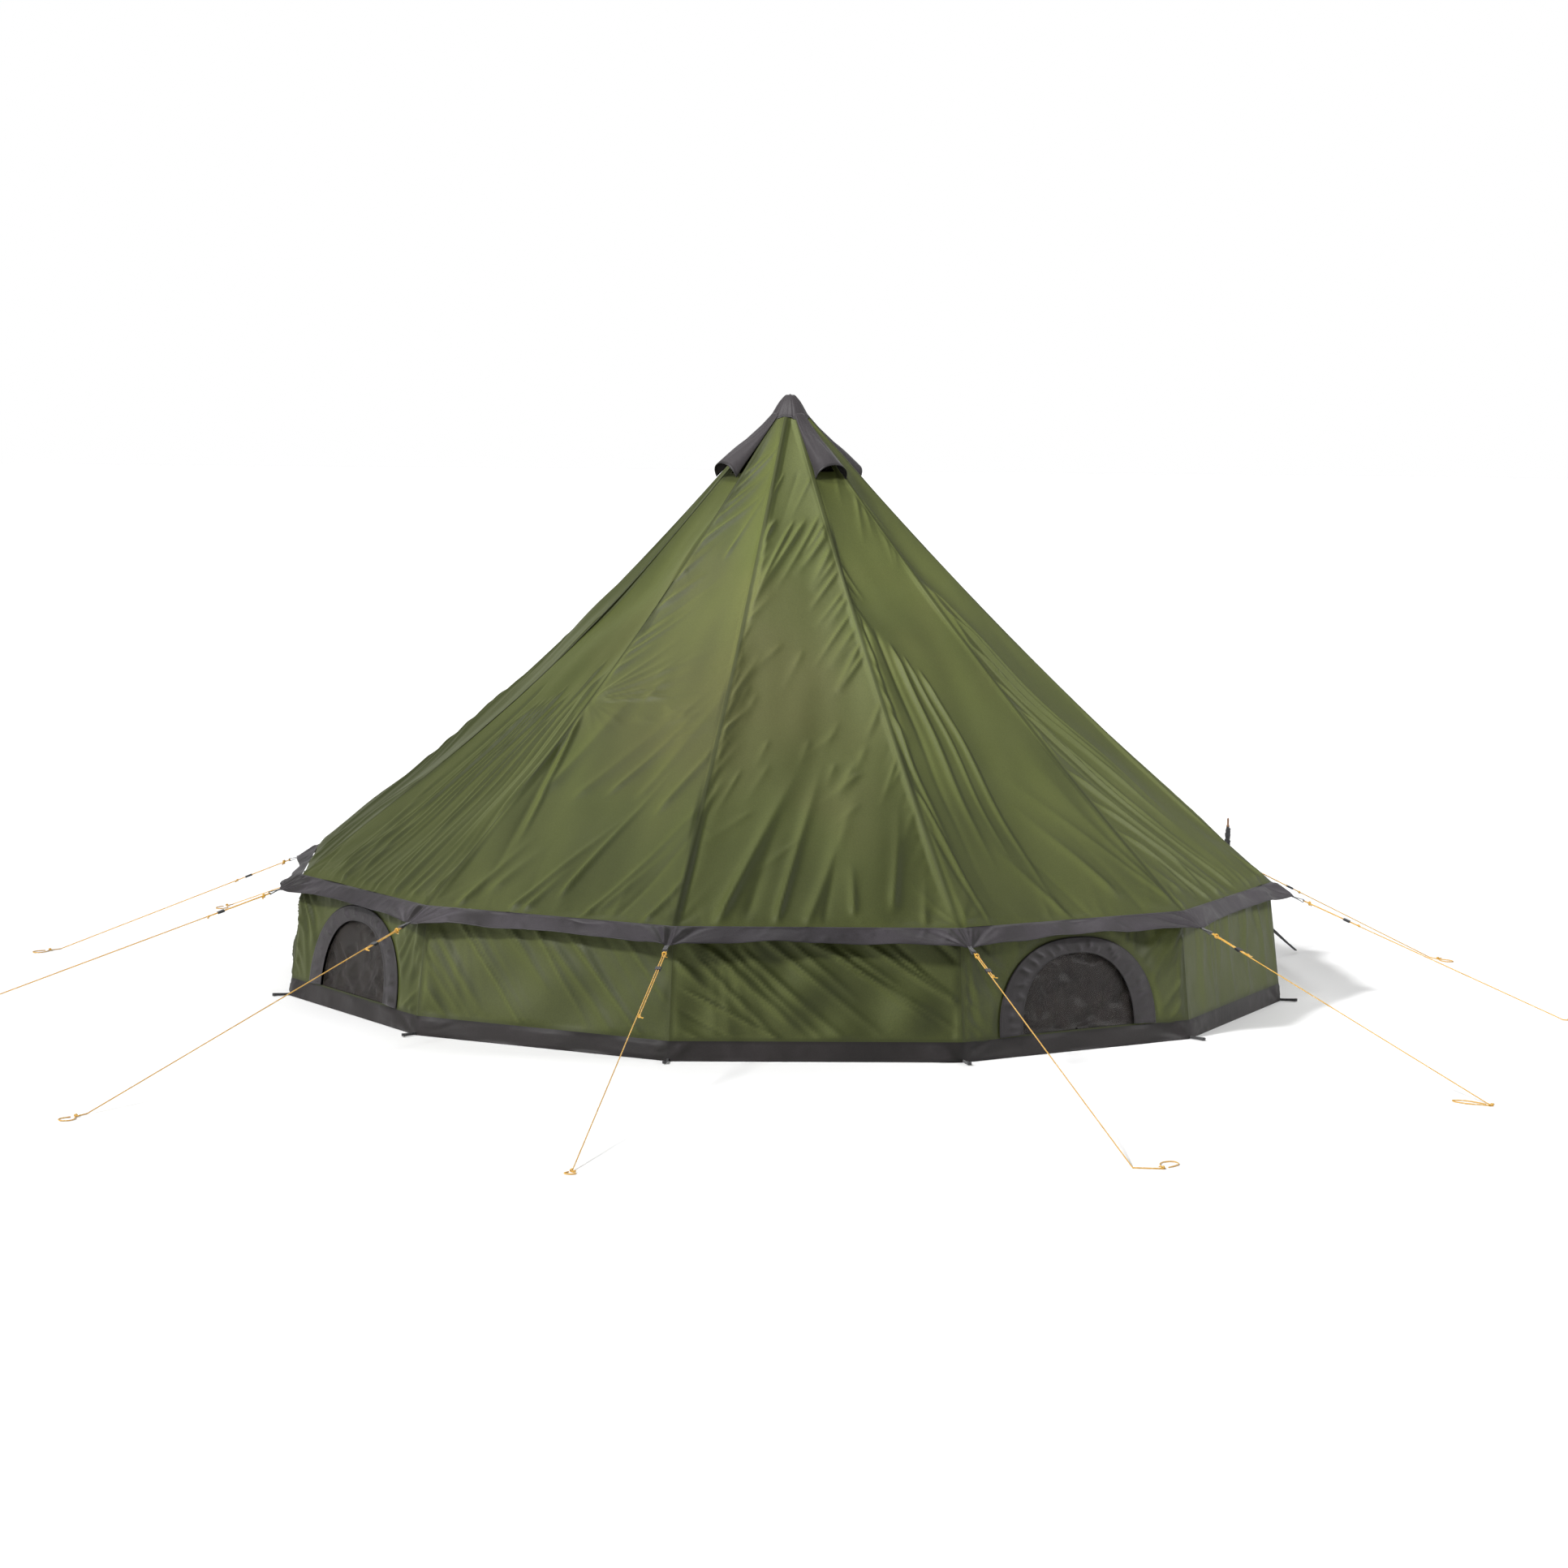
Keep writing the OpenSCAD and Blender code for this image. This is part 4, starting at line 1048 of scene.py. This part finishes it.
def make_hoods():
    """Four arched hoods that flare from the cap to their mouths."""
    t = np.linspace(0, 1, 40)[:, None]
    turn = np.linspace(pi, 0, 49)[None, :]
    x = HOOD_FROM + (HOOD_TO - HOOD_FROM) * t
    half_w = (0.028 + 0.054 * t ** 0.9) * (1 + 0.10 * smooth_step(0.85, 1, t))
    rise = 0.008 + 0.070 * smooth_step(0.0, 1.0, t) * (0.6 + 0.4 * t)
    uv = np.stack([turn * 0.08 + 0 * t, x + 0 * turn], -1)
    seam = smooth_step(0.955, 0.975, t) * 0.7 + 0 * turn
    for number, panel in enumerate(VENT_PANELS, 1):
        wrinkle = 0.0022 * np.sin(7 * turn + 5 * t + panel) * np.sin(pi * t) \
            + 0.0016 * np.sin(13 * turn - 9 * t) * t * (1 - t) * 3
        up = rise * np.abs(np.sin(turn)) ** 0.85 + wrinkle * np.sin(turn)
        points = np.stack([x + up * HOOD_LEAN[0] + 0 * turn, half_w * np.cos(turn),
                           roof_curve(x / COS_HALF) + 0.004 + up * HOOD_LEAN[1]], -1)
        hood = sheet_object(f"vent_hood_cloth_{number}", TRIM, "tent", turned(points, panel), uv, seam, seam,
                            thickness=0.002)
        cloth_facts(hood, f"vent_hood_{number}", "trim_cloth", flat=(0.28, 0.38), held="stretched",
                    rests_on=["roof_canopy_cloth"], area=0.075)


make_cap()
make_hoods()

# ---- floor sheet, vent mesh, webbing and zip

# Half of a strap's section with its rounded edges, as shares of its width and thickness, and then all of it.
STRAP_EDGE = [(-0.5, -0.3), (-0.46, -0.5), (0.46, -0.5), (0.5, -0.3)]
STRAP_SECTION = STRAP_EDGE + [(-a, -b) for a, b in STRAP_EDGE]
STRAP_TIE_H, COLLAR_R = 0.38, 0.0092    # height of the strap's collar on an upright, and the collar's radius
STRAP_PEG = (0.55, -2.958, 0.012)       # where the right-hand strap is pegged
TAB_HEIGHT = 0.539
BOTH_SIDES = (("left", -1), ("right", 1))


def make_floor_sheet():
    around = np.linspace(0, 2 * pi, 12 * 20 + 1)
    share = np.linspace(0.001, 1, 60)[:, None]
    r = share * (BASE_R - 0.005) * facet(around)
    x, y = r * np.cos(around), r * np.sin(around)
    z = 0.0032 + np.clip(Ripples(61, 0.5)(x, y), -1, 1) * 0.0016 * (1 - share ** 6)
    floor = sheet_object("groundsheet_cloth", FLOOR, "tent", np.stack([x, y, z], -1), np.stack([x, y], -1))
    cloth_facts(floor, "groundsheet", "floor_cloth", flat=(4.99, 4.82), held="laid",
                rests_on=["ground_skirt_cloth"], area=18.7)


def make_vent_nets():
    x = np.linspace(VENT_ROOM[0] + 0.002, VENT_ROOM[1] - 0.002, 16)[:, None]
    y = np.linspace(-VENT_ROOM[2] + 0.002, VENT_ROOM[2] - 0.002, 13)[None, :]
    z = roof_curve(x / COS_HALF) - 0.001 - 0.002 * np.cos(y * 35)
    x, y = x + 0 * y, y + 0 * x
    for number, panel in enumerate(VENT_PANELS, 1):
        net = sheet_object(f"vent_net_{number}", MESH, "tent", turned(np.stack([x, y, z], -1), panel),
                           np.stack([y, x], -1))
        cloth_facts(net, "vent_mesh", "mesh", flat=(0.09, 0.16), held="stretched",
                    rests_on=["roof_canopy_cloth"])


def strap(name, line, side, width, thickness, node, material=WEBBING):
    """A flat woven strap along a line. side is its width's direction, or a list with one for each point."""
    sides = side if isinstance(side, list) else [side] * len(line)
    vertices, faces = [], []
    for i, (place, s) in enumerate(zip(line, sides)):
        ahead = (line[min(i + 1, len(line) - 1)] - line[max(i - 1, 0)]).normalized()
        s = (s - s.dot(ahead) * ahead).normalized()
        up = ahead.cross(s)
        vertices += [place + s * (a * width) + up * (b * thickness) for a, b in STRAP_SECTION]
    count = len(STRAP_SECTION)
    for i in range(len(line) - 1):
        for j in range(count):
            k = (j + 1) % count
            faces.append((i * count + j, i * count + k, (i + 1) * count + k, (i + 1) * count + j))
    faces += [tuple(range(count - 1, -1, -1)), tuple((len(line) - 1) * count + j for j in range(count))]
    made = block_object(name, vertices, faces, material)
    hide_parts(node)


def teardrop(from_x, loop_x, radius, gap, steps=14):
    """Outline of a strap folded into a loop, as (forward, sideways) pairs."""
    turn = [(loop_x + radius * cos(a), radius * sin(a))
            for a in np.linspace(radians(125), -radians(125), steps)]
    return [(from_x, gap), (from_x + 0.4 * (loop_x - from_x), gap), *turn,
            (from_x + 0.4 * (loop_x - from_x), -gap), (from_x, -gap)]


def make_eave_tabs():
    """Webbing folded round the guy line at each corner of the valance, pointing down and outwards."""
    tilt = radians(20)
    for k in range(SIDES):
        out, aside = corner_ways(k)
        along = out * cos(tilt) - UP * sin(tilt)
        above = along.cross(aside) * -1
        base = out * (TIP_R + 0.003) + UP * (TIP_H - 0.001)
        line = [base + along * a + above * b for a, b in teardrop(-0.022, 0.040, 0.0068, 0.0013)]
        strap(f"eave_tab_webbing_{k + 1:02d}", line, aside, 0.019, 0.0016, "eave_tabs")


def make_peg_loops():
    """Webbing on edge that forms a loop round each ground peg."""
    for k in range(SIDES):
        rng = random.Random(40 + k)
        out, aside = corner_ways(k)
        bend, lift = rng.uniform(-0.004, 0.004), rng.uniform(0.0, 0.004)
        line = []
        for a, b in teardrop(2.488, 2.575, 0.0085, 0.0014):
            t = (a - 2.488) / 0.095
            line.append(out * a + aside * (b + bend * sin(pi * t)) + UP * (0.0072 + lift * t * t))
        strap(f"peg_loop_webbing_{k + 1:02d}", line, UP, 0.012, 0.0017, "peg_loops")


def make_door_straps():
    """A twisted strap from each upright to the ground, its turned-back hem and the collar that holds it."""
    for name, side in BOTH_SIDES:
        tie = Vector((side * UPRIGHT_X, UPRIGHT_Y, STRAP_TIE_H))
        top, end = tie - ALONG_Y * 0.0095, Vector((side * STRAP_PEG[0], *STRAP_PEG[1:]))
        line = [top.lerp(end, t) - UP * (0.004 * sin(pi * t)) for t in np.linspace(0, 1, 16)]
        twists = [0.5 * sin(pi * i / 15) * side for i in range(16)]
        sides = [Matrix.Rotation(twist, 3, (end - top).normalized()) @ ALONG_X for twist in twists]
        strap(f"door_strap_webbing_{name}", line, sides, 0.02, 0.0018, "door_straps")
        back = (line[-2] - line[-1]).normalized()
        hem = [line[-1] + back * t + Vector((0, -0.0012, 0.0024)) for t in (0, 0.02, 0.045, 0.06)]
        strap(f"door_strap_hem_{name}", hem, sides[-1], 0.02, 0.0018, "door_straps")
        ring = [tie + COLLAR_R * Vector((cos(a), sin(a), 0))
                for a in np.linspace(-pi / 2, 1.5 * pi, 25)]
        strap(f"door_strap_collar_{name}", ring, UP, 0.022, 0.0016, "door_straps")


def make_upright_webbing():
    """Webbing wound round the top of each upright, and the tab that ties it to the valance's hem."""
    turns, steps = 7, 7 * 20
    for name, side in BOTH_SIDES:
        axis = Vector((side * UPRIGHT_X, UPRIGHT_Y, 0))
        line, sides = [], []
        for i in range(steps + 1):
            t = i / steps
            angle = 2 * pi * turns * t
            radius = 0.0098 + 0.0045 * abs(sin(3.5 * pi * t)) + 0.0008 * sin(9 * angle / 7)
            c, s = cos(angle), sin(angle)
            line.append(axis + Vector((radius * c, radius * s, 0.575 + 0.112 * t)))
            sides.append(Vector((0.25 * c * sin(5 * t), 0.25 * s, 1)))
        strap(f"upright_wrap_{name}", line, sides, 0.017, 0.0018, "upright_wraps")
        hem_y = -TIP_R * COS_HALF + 0.012
        tab = [axis + Vector((0.001, (hem_y - UPRIGHT_Y) * t, TAB_HEIGHT)) for t in (0.95, 0.6, 0.25)]
        tab += [axis + Vector((0.0094 * sin(a), -0.0094 * cos(a), TAB_HEIGHT))
                for a in np.linspace(pi, -0.8 * pi, 22)]
        strap(f"upright_tab_{name}", tab, UP, 0.013, 0.0016, "upright_tabs")


BLOCK_FACES = (0, 1, 3, 2), (4, 6, 7, 5), (0, 4, 5, 1), (2, 3, 7, 6), (1, 5, 7, 3), (0, 2, 6, 4)
TOOTH_LONG, TOOTH_WIDE, TOOTH_HIGH = 0.0019, 0.0052, 0.0016
TOOTH_PITCH = 0.0032


def zip_run(name, low, high, across, out, steps):
    """A straight tape and its teeth, small blocks that taper outwards and stand in turn on either side."""
    ahead = (high - low).normalized()
    strap(f"zip_tape_{name}", [low.lerp(high, t) - out * 0.001 for t in np.linspace(0, 1, steps)], across,
          0.0115, 0.0012, "zip_tape", ZIP)
    count = int((high - low).length / TOOTH_PITCH)
    vertices, faces = [], []
    for i in range(count):
        place = low.lerp(high, (i + 0.5) / count) + across * (0.0009 * (-1) ** i) - out * 0.0003
        faces += [tuple(len(vertices) + v for v in face) for face in BLOCK_FACES]
        vertices += [place + ahead * (a * TOOTH_LONG * shrink) + across * (b * TOOTH_WIDE * shrink)
                     + out * (c * TOOTH_HIGH)
                     for a in (-0.5, 0.5) for b in (-0.5, 0.5) for c, shrink in ((0, 1.0), (1, 0.7))]
    block_object(f"zip_teeth_{name}", vertices, faces, ZIP)


def make_zip():
    """Both sides of the doorway's zip, on the wall and on the roof."""
    wall_out = Vector((0, -cos(WALL_LEAN), sin(WALL_LEAN)))
    for name, side in BOTH_SIDES:
        low, high = [Vector((side * (door_half(r) + ZIP_GAP / 2), -r * COS_HALF, float(roof_straight(r))))
                     for r in (EAVE_R - 0.004, DOOR_TOP_R + 0.009)]
        ahead = (high - low).normalized()
        across = (ALONG_X - ahead * ahead.x).normalized()
        out = across.cross(ahead) if across.cross(ahead).z > 0 else ahead.cross(across)
        zip_run(f"roof_{name}", low, high, across, out, 40)
        foot, head = [wall_point(side * (DOOR_HALF_W + ZIP_GAP / 2), v)
                      for v in (SKIRT_H + 0.006, LOWER_FLAP_TOP - 0.002)]
        zip_run(f"wall_{name}", foot, head, ALONG_X, wall_out, 12)


def wall_point(u, v):
    """A point on the outer face of the door's wall panel."""
    return Vector((u, v * sin(WALL_LEAN) - BASE_R * COS_HALF, v * cos(WALL_LEAN)))


make_floor_sheet()
make_vent_nets()
make_eave_tabs()
make_peg_loops()
make_door_straps()
make_upright_webbing()
make_zip()

# ---- floor and light


# Each distant lamp: azimuth, rise and width in degrees, and power.
SUNS = [("key", 98, 38, 8, 3.9), ("fill", 240, 26, 14, 0.65), ("back", 330, 50, 40, 0.8)]
LAMP_DISTANCE = 10
# Soft spots that far off: azimuth, rise and cone in degrees, power, and the point each is aimed at.
SPOTS = [("top", 130, 48, 22, 6800, (-0.50, 0.45, 2.45)), ("right", 222, 30, 22, 3700, (-1.95, -1.25, 0.80)),
         ("left", 98, 24, 20, 1500, (-0.2, 2.1, 0.90))]
SKY_ABOVE = 0.22                # brightness of the sky overhead; it is 1 near the horizon
FLOOR_ALBEDO = 0.90


def place_lamp(name, data, azimuth, rise, target):
    azimuth, rise = radians(azimuth), radians(rise)
    towards = Vector((cos(rise) * cos(azimuth), cos(rise) * sin(azimuth), sin(rise)))
    lamp = add_object(name, data)
    lamp.location = target + towards * LAMP_DISTANCE
    lamp.rotation_euler = towards.to_track_quat("Z", "Y").to_euler()


def make_stage():
    bpy.ops.mesh.primitive_plane_add(size=400, location=(0, 0, -0.001))
    floor = bpy.context.object
    floor.name = "studio_floor"
    floor.data.materials.append(Nodes("studio_floor").set(Base_Color=(FLOOR_ALBEDO,) * 3, Roughness=0.95))
    world = bpy.data.worlds.new("studio")
    bpy.context.scene.world = world
    world.use_nodes = True
    tree = world.node_tree
    separate = tree.nodes.new("ShaderNodeSeparateXYZ")
    fade = tree.nodes.new("ShaderNodeMapRange")
    for socket, value in (("From Min", 0.13), ("From Max", 0.34), ("To Min", 1.0), ("To Max", SKY_ABOVE)):
        fade.inputs[socket].default_value = value
    tree.links.new(tree.nodes.new("ShaderNodeTexCoord").outputs["Generated"], separate.inputs[0])
    tree.links.new(separate.outputs["Z"], fade.inputs["Value"])
    tree.links.new(fade.outputs["Result"], tree.nodes["Background"].inputs["Strength"])
    tree.nodes["Background"].inputs["Color"].default_value = (1, 1, 1, 1)
    for name, azimuth, rise, width, power in SUNS:
        data = bpy.data.lights.new(name, "SUN")
        data.angle = radians(width)
        data.energy = power
        place_lamp(name, data, azimuth, rise, Vector())
    for name, azimuth, rise, cone, power, aim in SPOTS:
        data = bpy.data.lights.new(name, "SPOT")
        data.spot_size, data.spot_blend, data.shadow_soft_size = radians(cone), 1.0, 1.0
        data.energy = power
        place_lamp(name, data, azimuth, rise, Vector(aim))
    bpy.context.scene.view_settings.view_transform = "Standard"


make_stage()
